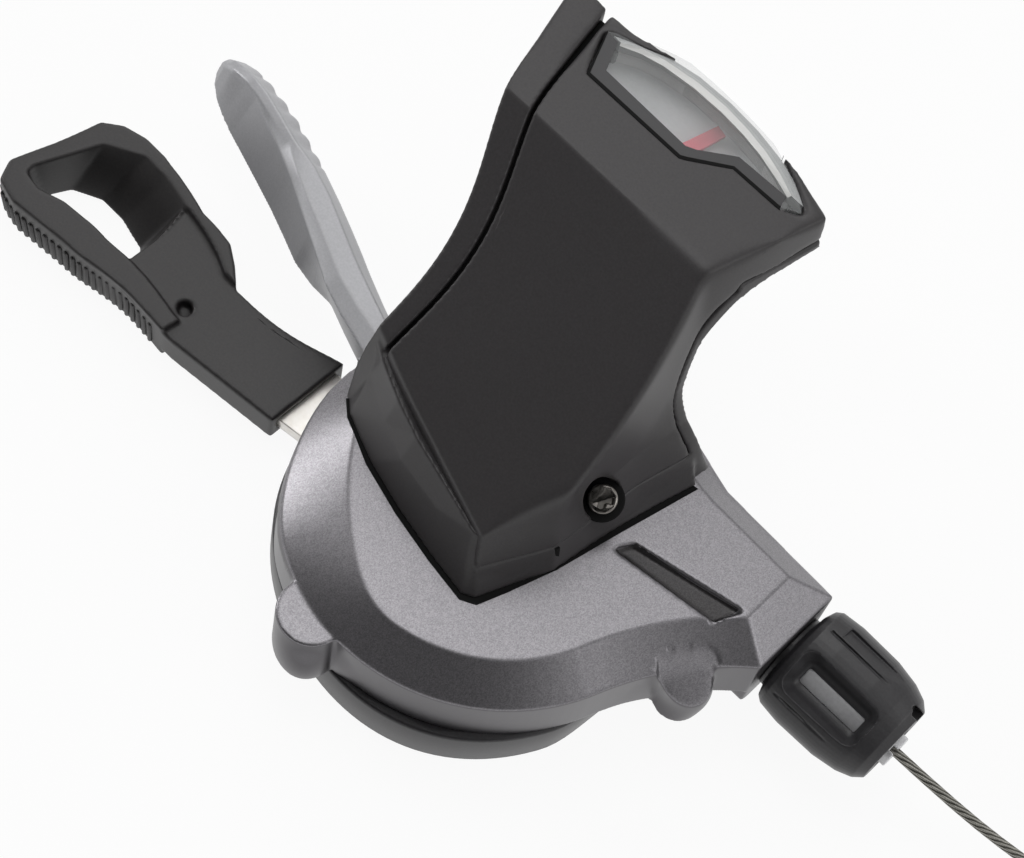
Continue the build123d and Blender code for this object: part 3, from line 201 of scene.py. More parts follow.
def ease(piece, width, limit=35, segments=3, where=None):
    """Rounds a piece's outward edges that are sharper than the limit, width in mm, all over or where a test says."""
    shape = bmesh.new()
    shape.from_mesh(piece.data)
    layers = shape.edges.layers.float
    weight = layers.get("bevel_weight_edge") or layers.new("bevel_weight_edge")
    for edge in shape.edges:
        outward = len(edge.link_faces) == 2 and edge.is_convex and edge.calc_face_angle() > radians(limit)
        edge[weight] = 1.0 if outward and (where is None or where(edge)) else 0.0
    shape.to_mesh(piece.data)
    shape.free()
    work(
        piece, "BEVEL", limit_method="WEIGHT", width=width * MM, segments=segments, use_clamp_overlap=False,
        loop_slide=False,
    )
    shade(piece)


def fit(piece, material, body, slot, *stands_for):
    """Gives a piece its material and the body it rides on, and hides the CAD nodes it stands for. The slot is not used.
    """
    piece.data.materials.clear()
    piece.data.materials.append(material)
    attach(piece, body)
    if stands_for:
        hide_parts(*stands_for)


def fresh(name):
    """A new material with its Principled shader, and object coordinates for its patterns."""
    material = bpy.data.materials.new(name)
    material.use_nodes = True
    shader = material.node_tree.nodes["Principled BSDF"]
    place = node(material, "ShaderNodeTexCoord").outputs["Object"]
    return material, shader, place


def speckle(material, shader, place, grain_mm, dark, light, relief_mm=0.0):
    """Two close tones and a fine relief in one grain, grain_mm across."""
    grain = node(material, "ShaderNodeTexNoise", [(place, "Vector")], Scale=1 / (grain_mm * MM), Detail=3.0)
    tint = node(material, "ShaderNodeValToRGB", [(grain.outputs["Fac"], "Fac")])
    tint.color_ramp.elements[0].position = 0.3
    tint.color_ramp.elements[0].color = tone(dark)
    tint.color_ramp.elements[1].position = 0.7
    tint.color_ramp.elements[1].color = tone(light)
    material.node_tree.links.new(tint.outputs["Color"], shader.inputs["Base Color"])
    if relief_mm:
        bump = node(
            material, "ShaderNodeBump", [(grain.outputs["Fac"], "Height")], Strength=1.0, Distance=relief_mm * MM
        )
        material.node_tree.links.new(bump.outputs["Normal"], shader.inputs["Normal"])


anodised, shader, place = fresh("black_anodised_aluminium")
speckle(anodised, shader, place, 0.35, "#2b2a2b", "#333233", 0.006)
shader.inputs["Metallic"].default_value = 0.35
shader.inputs["Roughness"].default_value = 0.42
band = blank_of("clamp_band", "clamp_band_tumbled")
ease(band, 0.5)
fit(band, anodised, "housing", "black_alloy", "clamp_band")

# Steel that is turned or pressed and zinc plated: bolts, pins, plates, pawls and springs.
# The plating gives a pale satin grey with a faint grain along the rolling direction.
plated, shader, place = fresh("zinc_plated_steel")
rolled = node(plated, "ShaderNodeMapping", [(place, "Vector")], Scale=(300.0, 4000.0, 4000.0))
speckle(plated, shader, rolled.outputs[0], 1000.0, "#b9b6b0", "#d2cfc8")
shader.inputs["Metallic"].default_value = 0.95
shader.inputs["Roughness"].default_value = 0.33
for name in ("clamp_bolt", "clamp_nut"):
    fastener = blank_of(name, name + "_eased")
    ease(fastener, 0.25)
    fit(fastener, plated, "housing", "steel", name)
for name in (
    "clamp_screws", "cover_screws", "base_plate", "main_axle", "axle_nut", "stop_pawl_pin", "release_pin",
    "lever_spring", "drum_spring", "release_spring", "needle_shaft", "take_up_pawl_pin", "take_up_pawl",
    "ratchet_plate", "cable_nipple", "crank_pin", "indicator_link", "stop_pawl",
):
    nodes[name].data.materials.clear()
    nodes[name].data.materials.append(plated)

# Lower cover: the dark tray that the part stands on, glass-filled nylon, moulded with a fine satin grain.
# The cable drum and the wire's guide inside it are the same nylon. Screws hold it to the upper cover.
AXLE_FOOT = Vector((0.012, -0.030, -0.0265))


def press(piece, spot, reach, shift, base=None):
    """Moves a round area of a piece, fading out at its reach, mm from the axle's foot; a base height stays put."""
    centre = AXLE_FOOT + Vector(spot) * MM
    for vertex in piece.data.vertices:
        share = max(0.0, 1 - ((vertex.co - centre).length / (reach * MM)) ** 2) ** 2
        if base is not None:
            height = (vertex.co.z - AXLE_FOOT.z) / MM
            share *= max(0.0, min(1.0, (height - base) / (spot[2] - base)))
        vertex.co += Vector(shift) * MM * share


nylon, shader, place = fresh("glass_filled_nylon")
speckle(nylon, shader, place, 0.3, "#2c2b2d", "#353336", 0.006)
shader.inputs["Roughness"].default_value = 0.4
for name in ("cable_drum", "cable_guide"):
    nodes[name].data.materials.clear()
    nodes[name].data.materials.append(nylon)
tray = blank_of("lower_cover", "lower_cover_moulded")
press(tray, (10.2, -23.8, 2), 24, (0.75, -1.1, 0))
press(tray, (25.7, -3.1, 3), 11, (-1.5, 0.5, 0))
slot_end, sharp_mm = AXLE_FOOT + Vector((-11.9, 17.1, 4.0)) * MM, 4
ease(tray, 0.45, where=lambda edge: all((corner.co - slot_end).length > sharp_mm * MM for corner in edge.verts))
fit(tray, nylon, "housing", "dark_plastic", "lower_cover")

# Upper cover: a die-cast shell with a bevelled top, sprayed with grey metallic lacquer.
# The flakes are about a tenth of a millimetre and show as fine light and dark specks.
paint, shader, place = fresh("grey_metallic_lacquer")
FLAKE_MM = 0.11


def flake_coat(material, shader, place, dark, light, wall_shade_tone):
    """Metal flakes in lacquer: each has its own grey and slight tilt. Walls, found by the normal's Z, take one plain
    darker tone: painted shade.
    """
    flakes = node(material, "ShaderNodeTexVoronoi", [(place, "Vector")], Scale=1 / (FLAKE_MM * MM))
    tint = node(material, "ShaderNodeValToRGB", [(flakes.outputs["Color"], "Fac")])
    tint.color_ramp.elements[0].position = 0.1
    tint.color_ramp.elements[0].color = tone(dark)
    tint.color_ramp.elements[1].position = 0.9
    tint.color_ramp.elements[1].color = tone(light)
    surface = node(material, "ShaderNodeNewGeometry")
    facing = node(material, "ShaderNodeSeparateXYZ", [(surface.outputs["Normal"], "Vector")])
    top_or_wall_shade = node(material, "ShaderNodeMapRange", [(facing.outputs["Z"], "Value")])
    top_or_wall_shade.inputs["From Min"].default_value = 0.2
    top_or_wall_shade.inputs["From Max"].default_value = 0.45
    coat = node(
        material, "ShaderNodeMix", [(top_or_wall_shade.outputs["Result"], 0), (tint.outputs["Color"], 7)], data_type="RGBA"
    )
    coat.inputs[6].default_value = tone(wall_shade_tone)
    material.node_tree.links.new(coat.outputs[2], shader.inputs["Base Color"])
    tilt = node(material, "ShaderNodeBump", [(flakes.outputs["Distance"], "Height")], Strength=0.3, Distance=0.008 * MM)
    material.node_tree.links.new(tilt.outputs["Normal"], shader.inputs["Normal"])
    shader.inputs["Metallic"].default_value = 0.75
    shader.inputs["Roughness"].default_value = 0.35


def melt(piece, voxel, passes, ratio):
    """Rounds a whole shape: a skin of small squares, voxel mm across, smoothed and thinned."""
    work(piece, "REMESH", mode="VOXEL", voxel_size=voxel * MM)
    work(piece, "SMOOTH", factor=0.5, iterations=passes)
    work(piece, "DECIMATE", ratio=ratio)
    take_up(piece)
    bpy.ops.object.shade_smooth()


# The last tone, for the walls, is painted shade.
flake_coat(paint, shader, place, "#737175", "#8f8d90", "#555356")
cover = blank_of("upper_cover", "upper_cover_lacquered")
melt(cover, 0.22, 2, 0.4)
press(cover, (-9.5, -13.0, 18.7), 15, (2.4, 2.6, 0), base=14.5)
BOSS, BOSS_R, BOSS_FOOT, BOSS_TOP, BOSS_SLOPE = Vector((27.9, 0.4, 0)), 3.2, 5.0, 15.6, 0.85
boss_out = Vector((0.828, -0.563, 0))
for vertex in cover.data.vertices:
    spot = (vertex.co - AXLE_FOOT) / MM
    flat = Vector((spot.x, spot.y, 0)) - BOSS
    if flat.length < BOSS_R and spot.z > BOSS_FOOT:
        drop = BOSS_SLOPE * max(0.0, flat.dot(boss_out) + 1.6) * (spot.z - BOSS_FOOT) / (BOSS_TOP - BOSS_FOOT)
        vertex.co.z -= drop * MM
press(cover, (28.4, 0.0, 10.0), 6.5, (1.0, 1.1, 0))


def round_off(piece, spots, passes):
    """Smooths a piece round some spots, each (place, reach) in mm, fading out at the reach."""
    mask = piece.vertex_groups.new(name="soft")
    for vertex in piece.data.vertices:
        share = max(1 - (vertex.co - AXLE_FOOT - Vector(spot) * MM).length / (reach * MM) for spot, reach in spots)
        mask.add([vertex.index], max(0.0, min(1.0, 2 * share)), "REPLACE")
    work(piece, "SMOOTH", factor=0.5, iterations=passes, vertex_group="soft")


round_off(cover, (((28.0, 1.4, 13.0), 5.0),), 30)
press(cover, (-2.1, -27.7, 9), 7, (0.8, -0.85, 0))
press(cover, (-21.2, -11.2, 12), 14, (0.65, 0.7, 0))
ARM_AXIS, FAR_WALL, ARM_START, ARM_BLEND, ARM_TRIM = 13.5, 20.5, 9, 8, 2.0
for vertex in cover.data.vertices:
    along, across = ((vertex.co - AXLE_FOOT) / MM)[:2]
    on_arm = max(0.0, min(1.0, (along - ARM_START) / ARM_BLEND))
    narrowing = on_arm * max(0.0, min(1.0, (across - ARM_AXIS) / (FAR_WALL - ARM_AXIS)))
    vertex.co.y -= ARM_TRIM * narrowing * MM
fit(cover, paint, "housing", "grey_paint", "upper_cover")

# Scarf on the arm: a sloping step in the cover's top, with dark lacquer laid in it as painted shade.
# It is a thin sheet laid on the cast step, so it follows the cover's surface.


def at(x, y, z):
    """A point in mm from the foot of the levers' axle, in the row frame."""
    return AXLE_FOOT + Vector((x, y, z)) * MM


def block(name, below, above):
    """A cube whose corners go to four points below and four above, both anticlockwise from the near left."""
    bpy.ops.object.select_all(action="DESELECT")
    bpy.ops.mesh.primitive_cube_add(size=2)
    piece = bpy.context.object
    piece.name = name
    corners = [(-1, -1), (1, -1), (1, 1), (-1, 1)]
    for vertex in piece.data.vertices:
        corner = corners.index((round(vertex.co.x), round(vertex.co.y)))
        vertex.co = at(*(above if vertex.co.z > 0 else below)[corner])
    return piece


step_shade_paint, shader, place = fresh("step_painted_shade_lacquer")
flake_coat(step_shade_paint, shader, place, "#2a2829", "#3e3c3d", "#2a2829")
shader.inputs["Metallic"].default_value = 0.4
scarf_near = [(13.6, 3.5, 21), (17.2, 4.1, 21), (20.8, 4.6, 21), (24.0, 5.15, 21), (26.8, 5.6, 21)]
scarf_far = [(14.7, 5.75, 21), (18.1, 6.4, 21), (21.5, 7.05, 21), (24.7, 7.8, 21), (27.6, 8.5, 21)]
bpy.ops.object.select_all(action="DESELECT")
bpy.ops.mesh.primitive_grid_add(x_subdivisions=4, y_subdivisions=1, size=2)
scarf = bpy.context.object
scarf.name = "arm_scarf_shade"
for vertex in scarf.data.vertices:
    step = round((vertex.co.x + 1) * 2)
    vertex.co = at(*(scarf_far if vertex.co.y > 0 else scarf_near)[step])
take_up(scarf)
bpy.ops.object.mode_set(mode="EDIT")
bpy.ops.mesh.select_all(action="SELECT")
bpy.ops.mesh.subdivide(number_cuts=14)
bpy.ops.object.mode_set(mode="OBJECT")
work(
    scarf, "SHRINKWRAP", target=cover, wrap_method="PROJECT", use_project_z=True, use_negative_direction=True,
    use_positive_direction=False, offset=0.05 * MM,
)
work(scarf, "SMOOTH", factor=0.5, iterations=2)
work(scarf, "SOLIDIFY", thickness=0.12 * MM, offset=-1)
shade(scarf)
fit(scarf, step_shade_paint, "housing", "grey_paint")

# Gap round the display's foot: a near-black strip laid in the joint between the foot and the cover, as painted shade of
# the gap.
# It shows as a line about a millimetre wide.
gap_shade_outer = [
    (-18.9, -5.4, 18.3), (-17.2, -6.9, 18.74), (-11.7, -9.4, 18.76), (-5.4, -11.1, 18.76), (0.9, -12.3, 18.76),
    (6.2, -13.0, 18.76), (7.9, -12.1, 18.76), (9.2, -8.5, 18.76), (11.0, -2.8, 18.76), (12.6, 4.8, 18.76),
    (15.0, 15.4, 18.76),
]
gap_shade_inner = [
    (-18.0, -4.4, 18.4), (-16.4, -5.4, 18.78), (-11.2, -7.6, 18.8), (-5.0, -9.3, 18.8), (1.0, -10.6, 18.8),
    (5.6, -11.2, 18.8), (6.6, -10.6, 18.8), (7.8, -7.8, 18.8), (9.4, -2.4, 18.8), (11.0, 5.2, 18.8),
    (13.4, 15.2, 18.8),
]


def strip(name, first, second, thickness):
    """A band between two lines of points, the second on the left of the first, with a thickness below it in mm."""
    bpy.ops.object.select_all(action="DESELECT")
    bpy.ops.mesh.primitive_grid_add(x_subdivisions=len(first) - 1, y_subdivisions=1, size=2)
    piece = bpy.context.object
    piece.name = name
    for vertex in piece.data.vertices:
        step = round((vertex.co.x + 1) / 2 * (len(first) - 1))
        vertex.co = at(*(second if vertex.co.y > 0 else first)[step])
    work(piece, "SOLIDIFY", thickness=thickness * MM, offset=-1)
    return piece


# Near black, for the gaps and recesses where shade falls: painted shade.
gap_shade_black, shader, place = fresh("black_gap_shade")
shader.inputs["Base Color"].default_value = tone("#0b0b0b")
shader.inputs["Roughness"].default_value = 0.8
shader.inputs["Specular IOR Level"].default_value = 0.2
foot_gap_shade_strip = strip("foot_gap_shade", gap_shade_outer, gap_shade_inner, 0.4)
fit(foot_gap_shade_strip, gap_shade_black, "housing", "black_plastic")

# Main lever: a stamped steel blade on the axle, with a thumb loop of glass-filled nylon moulded over its end.
# The mould is spark eroded, so the black is matt and all edges are round.
blade_steel, shader, place = fresh("polished_stainless_blade")
speckle(blade_steel, shader, place, 0.8, "#efebe4", "#f6f3ee")
shader.inputs["Metallic"].default_value = 0.6
shader.inputs["Roughness"].default_value = 0.3
blade = blank_of("main_lever_plate", "main_lever_blade")
ease(blade, 0.18)
fit(blade, blade_steel, "main_lever", "steel", "main_lever_plate")
grip_black, shader, place = fresh("eroded_black_nylon")
speckle(grip_black, shader, place, 0.28, "#262425", "#2e2c2c", 0.008)
shader.inputs["Roughness"].default_value = 0.46
loop_trims = (
    ((-68.6, -11.3, 6), 12, (-0.65, -0.7, 0)), ((-49.9, 1.5, 6), 10, (0.35, 0.85, 0)),
    ((-48.9, -11.3, 3), 9, (-0.2, 1.0, 0)), ((-33.4, 0.8, 6), 9, (0.15, -0.75, 0)),
)
grip = blank_of("main_lever_grip", "main_lever_loop")
melt(grip, 0.17, 22, 0.3)
for spot, reach, shift in loop_trims:
    press(grip, spot, reach, shift)
fit(grip, grip_black, "main_lever", "grip_plastic", "main_lever_grip")

# Ribs on the loop's near wall: upright half-round bars about a millimetre apart.
# They are part of the same nylon moulding and keep a thumb from sliding.
LEVER_TURN = radians(188)
near_wall = [(45.6, 4.78), (47.0, 4.66), (58.0, 3.46), (66.0, 2.62), (67.6, 2.06), (69.0, 1.36), (69.9, 0.0)]
RIB_STEP = 1.02
RIB_LOW, RIB_HIGH, RIB_R = 0.75, 5.1, 0.33


def along_lever(u, v, z):
    """A point in mm along the main lever, across it to the rider's left, and above the floor."""
    return at(u * cos(LEVER_TURN) - v * sin(LEVER_TURN), u * sin(LEVER_TURN) + v * cos(LEVER_TURN), z)


rib_feet = []
left_over = 0.0
for (u0, v0), (u1, v1) in zip(near_wall, near_wall[1:]):
    run = ((u1 - u0) ** 2 + (v1 - v0) ** 2) ** 0.5
    while left_over < run:
        rib_feet.append((u0 + (u1 - u0) * left_over / run, v0 + (v1 - v0) * left_over / run))
        left_over += RIB_STEP
    left_over -= run
bpy.ops.object.select_all(action="DESELECT")
bpy.ops.mesh.primitive_cylinder_add(vertices=10, radius=RIB_R * MM, depth=(RIB_HIGH - RIB_LOW) * MM)
ribs = bpy.context.object
ribs.name = "grip_ribs"
bpy.ops.object.mode_set(mode="EDIT")
bpy.ops.mesh.select_all(action="SELECT")
bpy.ops.mesh.bevel(offset=0.22 * MM, segments=2)
bpy.ops.object.mode_set(mode="OBJECT")
rib_mesh = ribs.data.copy()
rib_mid = 0.5 * (RIB_LOW + RIB_HIGH)
ribs.data.transform(Matrix.Translation(along_lever(*rib_feet[0], rib_mid)))
copies = []
for u, v in rib_feet[1:]:
    rib = bpy.data.objects.new("rib", rib_mesh.copy())
    rib.data.transform(Matrix.Translation(along_lever(u, v, rib_mid)))
    bpy.context.scene.collection.objects.link(rib)
    copies.append(rib)
take_up(ribs)
for rib in copies:
    rib.select_set(True)
bpy.ops.object.join()
for spot, reach, shift in loop_trims:
    press(ribs, spot, reach, shift)
shade(ribs, 50)
fit(ribs, grip_black, "main_lever", "grip_plastic")

# Release lever: cold-forged aluminium, bead blasted and clear anodised to a soft grey.
# The finger edge has a row of shallow waves near the tip.
bead_grey, shader, place = fresh("bead_blasted_aluminium")
speckle(bead_grey, shader, place, 0.25, "#a3a3a6", "#adadb0", 0.004)
shader.inputs["Metallic"].default_value = 0.4
shader.inputs["Roughness"].default_value = 0.4
release = blank_of("release_lever", "release_lever_forged")
RELEASE_TURN = radians(160)
lever_frame = Matrix.Translation(at(-12.0, 0, 0)) @ Matrix.Rotation(RELEASE_TURN, 4, "Z")
bpy.ops.object.select_all(action="DESELECT")
bpy.ops.mesh.primitive_cube_add(size=50 * MM)
arm_waste = bpy.context.object
arm_waste.data.transform(lever_frame @ Matrix.Translation(Vector((35.0, 0, 11)) * MM))
work(release, "BOOLEAN", operation="DIFFERENCE", solver="EXACT", object=arm_waste)
bpy.data.objects.remove(arm_waste)
# Each row: mm along the lever, then across and height for the face's foot, two creases, the top's edge and the back.
finger_rows = [
    (5.0, (1.8, 8.2), (2.0, 14.2), (-0.3, 14.8), (-1.4, 15.0), (-2.7, 12.2)),
    (11.0, (1.8, 8.2), (2.3, 14.2), (0.0, 14.8), (-1.4, 15.0), (-2.7, 12.2)),
    (16.0, (1.8, 8.2), (2.75, 14.2), (0.7, 14.8), (-1.42, 15.0), (-2.8, 12.2)),
    (20.0, (1.7, 8.2), (2.8, 14.2), (1.0, 14.8), (-1.45, 15.0), (-3.0, 12.2)),
    (23.0, (2.8, 8.2), (2.35, 14.2), (0.85, 14.8), (-1.6, 15.0), (-3.25, 12.2)),
    (26.5, (3.42, 8.2), (1.9, 14.2), (0.6, 14.8), (-1.85, 15.0), (-3.45, 12.2)),
    (30.0, (3.3, 8.2), (1.45, 14.2), (0.45, 14.8), (-2.1, 15.0), (-3.6, 12.2)),
    (34.0, (3.25, 8.2), (0.9, 14.2), (0.1, 14.8), (-2.0, 15.0), (-3.65, 12.2)),
    (38.0, (3.35, 8.2), (0.6, 14.2), (-0.5, 14.7), (-1.3, 15.0), (-3.55, 12.2)),
    (42.0, (3.5, 8.2), (0.55, 14.2), (-0.1, 14.7), (-1.1, 15.0), (-3.35, 12.2)),
    (45.0, (3.6, 8.2), (0.6, 14.2), (0.3, 14.7), (-0.85, 15.0), (-2.9, 12.2)),
    (47.5, (3.6, 8.5), (0.95, 14.2), (0.75, 14.6), (-0.3, 14.9), (-2.4, 12.2)),
    (49.5, (3.5, 9.1), (1.6, 13.8), (1.2, 14.2), (0.2, 14.4), (-1.8, 12.2)),
    (51.0, (3.1, 9.9), (1.9, 13.1), (1.4, 13.4), (0.5, 13.6), (-0.9, 12.1)),
    (52.0, (2.4, 10.6), (1.75, 12.4), (1.4, 12.6), (0.8, 12.6), (0.1, 11.9)),
]
WAVE_START, WAVE_END, WAVE_MM, WAVE_DEEP = 34.6, 48.4, 2.76, 0.42


def finger_section(u):
    """The lever's section at u mm, all round, with the waves cut into its back."""
    after = min(i for i, row in enumerate(finger_rows) if row[0] >= u)
    low, high = finger_rows[max(0, after - 1)], finger_rows[after]
    part = (u - low[0]) / (high[0] - low[0]) if high[0] > low[0] else 0.0
    ring = [[a + (b - a) * part for a, b in zip(p, q)] for p, q in zip(low[1:], high[1:])]
    if WAVE_START < u < WAVE_END:
        ring[4][0] += WAVE_DEEP * (1 - abs(sin(pi * (u - WAVE_START) / WAVE_MM))) - 0.1
    ring += [[ring[4][0] + 0.5, max(8.6, ring[0][1] + 0.6)], [0.5 * (ring[4][0] + ring[0][0]), ring[0][1] - 0.2]]
    return [lever_frame @ (Vector((u, v, z)) * MM) for v, z in ring]


FINGER_START, FINGER_END, STATION_MM, STATIONS = finger_rows[0][0], finger_rows[-1][0], 0.46, 104
rings = [finger_section(min(FINGER_START + STATION_MM * step, FINGER_END)) for step in range(STATIONS)]
middles = [sum(rings[i], Vector()) / len(rings[i]) for i in (0, -1)]
SIDES = len(rings[0])
rings = [[middles[0]] * SIDES] + rings + [[middles[1]] * SIDES]
bpy.ops.object.select_all(action="DESELECT")
bpy.ops.mesh.primitive_grid_add(x_subdivisions=len(rings) - 1, y_subdivisions=SIDES, size=2)
finger = bpy.context.object
for vertex in finger.data.vertices:
    row = round((vertex.co.x + 1) / 2 * (len(rings) - 1))
    vertex.co = rings[row][round((vertex.co.y + 1) / 2 * SIDES) % SIDES]
take_up(finger)
bpy.ops.object.mode_set(mode="EDIT")
bpy.ops.mesh.select_all(action="SELECT")
bpy.ops.mesh.remove_doubles(threshold=0.001 * MM)
bpy.ops.mesh.normals_make_consistent(inside=False)
bpy.ops.object.mode_set(mode="OBJECT")
take_up(release)
finger.select_set(True)
bpy.ops.object.join()
melt(release, 0.14, 5, 0.4)
fit(release, bead_grey, "release_lever", "grey_alloy", "release_lever")

# Cable adjuster's bolt: turned aluminium, left bright, hollow for the wire and notched at its end.
# It screws into the arm's nose and shows through the barrel's slot.
bright, shader, place = fresh("turned_bright_aluminium")
speckle(bright, shader, place, 0.5, "#d4d4d6", "#e2e2e4")
shader.inputs["Metallic"].default_value = 0.25
shader.inputs["Roughness"].default_value = 0.3
SEAT = at(33.5, 13.0, 9.0)
BARREL_TURN = radians(22)
seat_frame = Matrix.Translation(SEAT) @ Matrix.Rotation(BARREL_TURN, 4, "X")


def turned_rod(name, radius, start, end, sides=40):
    """A round rod along the adjuster's axis, from start to end in mm past its seat."""
    bpy.ops.object.select_all(action="DESELECT")
    bpy.ops.mesh.primitive_cylinder_add(
        vertices=sides, radius=radius * MM, depth=(end - start) * MM, rotation=(0, pi / 2, 0),
        location=(0.5 * (start + end) * MM, 0, 0),
    )
    bpy.ops.object.transform_apply(location=True, rotation=True, scale=True)
    piece = bpy.context.object
    piece.name = name
    return piece


def cut(piece, *tools):
    """Cuts tools out of a piece, and deletes them."""
    for tool in tools:
        work(piece, "BOOLEAN", operation="DIFFERENCE", solver="EXACT", object=tool)
        bpy.data.objects.remove(tool)


def slab(name, size, place, turn=0.0):
    """A box in the adjuster's own frame: size and middle in mm, turned about the axis across the wings."""
    bpy.ops.object.select_all(action="DESELECT")
    bpy.ops.mesh.primitive_cube_add(size=1, location=Vector(place) * MM, rotation=(turn, 0, 0))
    piece = bpy.context.object
    piece.name = name
    piece.scale = Vector(size) * MM
    bpy.ops.object.transform_apply(location=True, rotation=True, scale=True)
    return piece


bolt = turned_rod("adjuster_bolt_turned", 2.74, -5.0, 13.4)
bolt_end = turned_rod("bolt_end", 2.1, 13.0, 16.3)
take_up(bolt)
work(bolt, "BOOLEAN", operation="UNION", solver="EXACT", object=bolt_end)
bpy.data.objects.remove(bolt_end)
cut(
    bolt,
    turned_rod("bolt_bore", 0.85, -6.0, 17.0, 24),
    slab("end_notch", (0.9, 6.0, 0.7), (16.1, 0, 0)),
    slab("end_notch_across", (0.9, 0.7, 6.0), (16.1, 0, 0)),
)
ease(bolt, 0.15)
bolt.data.transform(seat_frame)
fit(bolt, bright, "adjuster_bolt", "silver_alloy", "adjuster_bolt")

# Cable adjuster's barrel: black acetal, moulded with two finger wings, a pocket and a slot that shows the bolt.
# It turns on the bolt and clicks against the arm's nose.
acetal, shader, place = fresh("black_acetal")
speckle(acetal, shader, place, 0.3, "#2c2b2d", "#343335", 0.005)
shader.inputs["Roughness"].default_value = 0.4
WING_SHIFT = 0.45
barrel_rings = [
    (0.7, 5.2, 4.7), (1.1, 6.3, 5.2), (1.8, 6.8, 5.5), (4.5, 7.1, 5.6), (9.8, 7.0, 5.4), (12.8, 6.5, 5.1),
    (14.6, 5.8, 4.5), (15.6, 4.9, 3.7),
]
bpy.ops.object.select_all(action="DESELECT")
bpy.ops.mesh.primitive_circle_add(vertices=56, radius=1, fill_type="NGON", rotation=(0, pi / 2, 0))
bpy.ops.object.transform_apply(location=True, rotation=True, scale=True)
barrel = bpy.context.object
barrel.name = "adjuster_barrel_moulded"
for vertex in barrel.data.vertices:
    squared = [abs(c) ** 0.8 * (1 if c > 0 else -1) for c in (vertex.co.y, vertex.co.z)]
    vertex.co = Vector((barrel_rings[0][0], barrel_rings[0][1] * squared[0], barrel_rings[0][2] * squared[1])) * MM
bpy.ops.object.mode_set(mode="EDIT")
bpy.ops.mesh.select_all(action="SELECT")
for (x0, a0, b0), (x1, a1, b1) in zip(barrel_rings, barrel_rings[1:]):
    bpy.ops.mesh.extrude_region_move(TRANSFORM_OT_translate={"value": ((x1 - x0) * MM, 0, 0)})
    bpy.ops.transform.resize(value=(1, a1 / a0, b1 / b0), center_override=(x1 * MM, 0, 0))
bpy.ops.mesh.select_all(action="SELECT")
bpy.ops.mesh.normals_make_consistent(inside=False)
bpy.ops.object.mode_set(mode="OBJECT")
barrel.data.transform(Matrix.Translation((0, WING_SHIFT * MM, 0)))
collar = turned_rod("collar", 4.7, 0.05, 1.2)
work(barrel, "BOOLEAN", operation="UNION", solver="EXACT", object=collar)
bpy.data.objects.remove(collar)


def pocket_tool(name, top, bottom, high, low):
    """A tapering cutter: (x0, x1, w0, w1) at its top and at its bottom, heights in mm above the axis."""
    bpy.ops.object.select_all(action="DESELECT")
    bpy.ops.mesh.primitive_cube_add(size=2)
    piece = bpy.context.object
    piece.name = name
    for vertex in piece.data.vertices:
        x0, x1, w0, w1 = top if vertex.co.z > 0 else bottom
        height = high if vertex.co.z > 0 else low
        vertex.co = Vector((x1 if vertex.co.x > 0 else x0, w1 if vertex.co.y > 0 else w0, height)) * MM
    take_up(piece)
    bpy.ops.object.mode_set(mode="EDIT")
    bpy.ops.mesh.select_all(action="DESELECT")
    bpy.ops.object.mode_set(mode="OBJECT")
    for edge in piece.data.edges:
        ends = [piece.data.vertices[i].co.z for i in edge.vertices]
        edge.select = abs(ends[0] - ends[1]) > 0.1 * MM
    bpy.ops.object.mode_set(mode="EDIT")
    bpy.ops.mesh.bevel(offset=1.1 * MM, segments=5)
    bpy.ops.object.mode_set(mode="OBJECT")
    return piece


cut(
    barrel,
    turned_rod("barrel_bore", 2.8, -1.0, 17.0),
    pocket_tool("pocket", (1.7, 13.2, -4.6, 2.3), (3.1, 12.0, -2.4, 1.0), 6.4, 2.9),
    slab("slot", (8.2, 1.9, 5.0), (7.5, -0.7, 3.0)),
    slab("wing_crease", (12.0, 0.3, 0.9), (8.4, 4.7, 4.95)),
    slab("wing_crease_under", (12.0, 0.3, 0.9), (8.4, -4.5, 4.7)),
    slab("wing_panel", (8.6, 1.9, 1.2), (8.1, 6.05, 4.3), radians(-48)),
    slab("wing_notch", (1.9, 1.1, 4.0), (15.2, 4.6, 1.6)),
)
melt(barrel, 0.1, 3, 0.3)
barrel.data.transform(seat_frame)
fit(barrel, acetal, "adjuster_barrel", "black_plastic", "adjuster_barrel")

# Display's rear housing: black ABS, the strip at the left and the flared foot that stands on the cover.
# A finely eroded mould leaves it satin, with soft edges.
abs_black, shader, place = fresh("satin_black_abs")
speckle(abs_black, shader, place, 0.25, "#353334", "#3b393a", 0.004)
shader.inputs["Roughness"].default_value = 0.42
shader.inputs["Specular IOR Level"].default_value = 0.4
foot_low = [
    (-19.8, -4.2, 17.6), (-17.2, -6.6, 18.5), (-11.6, -8.9, 18.8), (-5.3, -10.6, 18.8), (1.0, -11.8, 18.8),
    (5.9, -12.5, 18.8), (7.3, -11.7, 18.8), (8.7, -8.2, 18.8), (10.4, -2.6, 18.8), (12.1, 5.0, 18.8),
    (14.4, 15.4, 18.8),
]
foot_crease = [
    (-18.9, -3.2, 25.4), (-17.1, -4.3, 25.2), (-12.3, -6.7, 25.0), (-8.0, -8.5, 25.0), (-1.6, -9.6, 24.9),
    (4.1, -10.3, 24.8), (5.3, -9.8, 24.6), (7.4, -6.4, 23.6), (9.9, -2.5, 22.6), (10.75, 5.0, 21.9),
    (12.3, 15.0, 21.8),
]
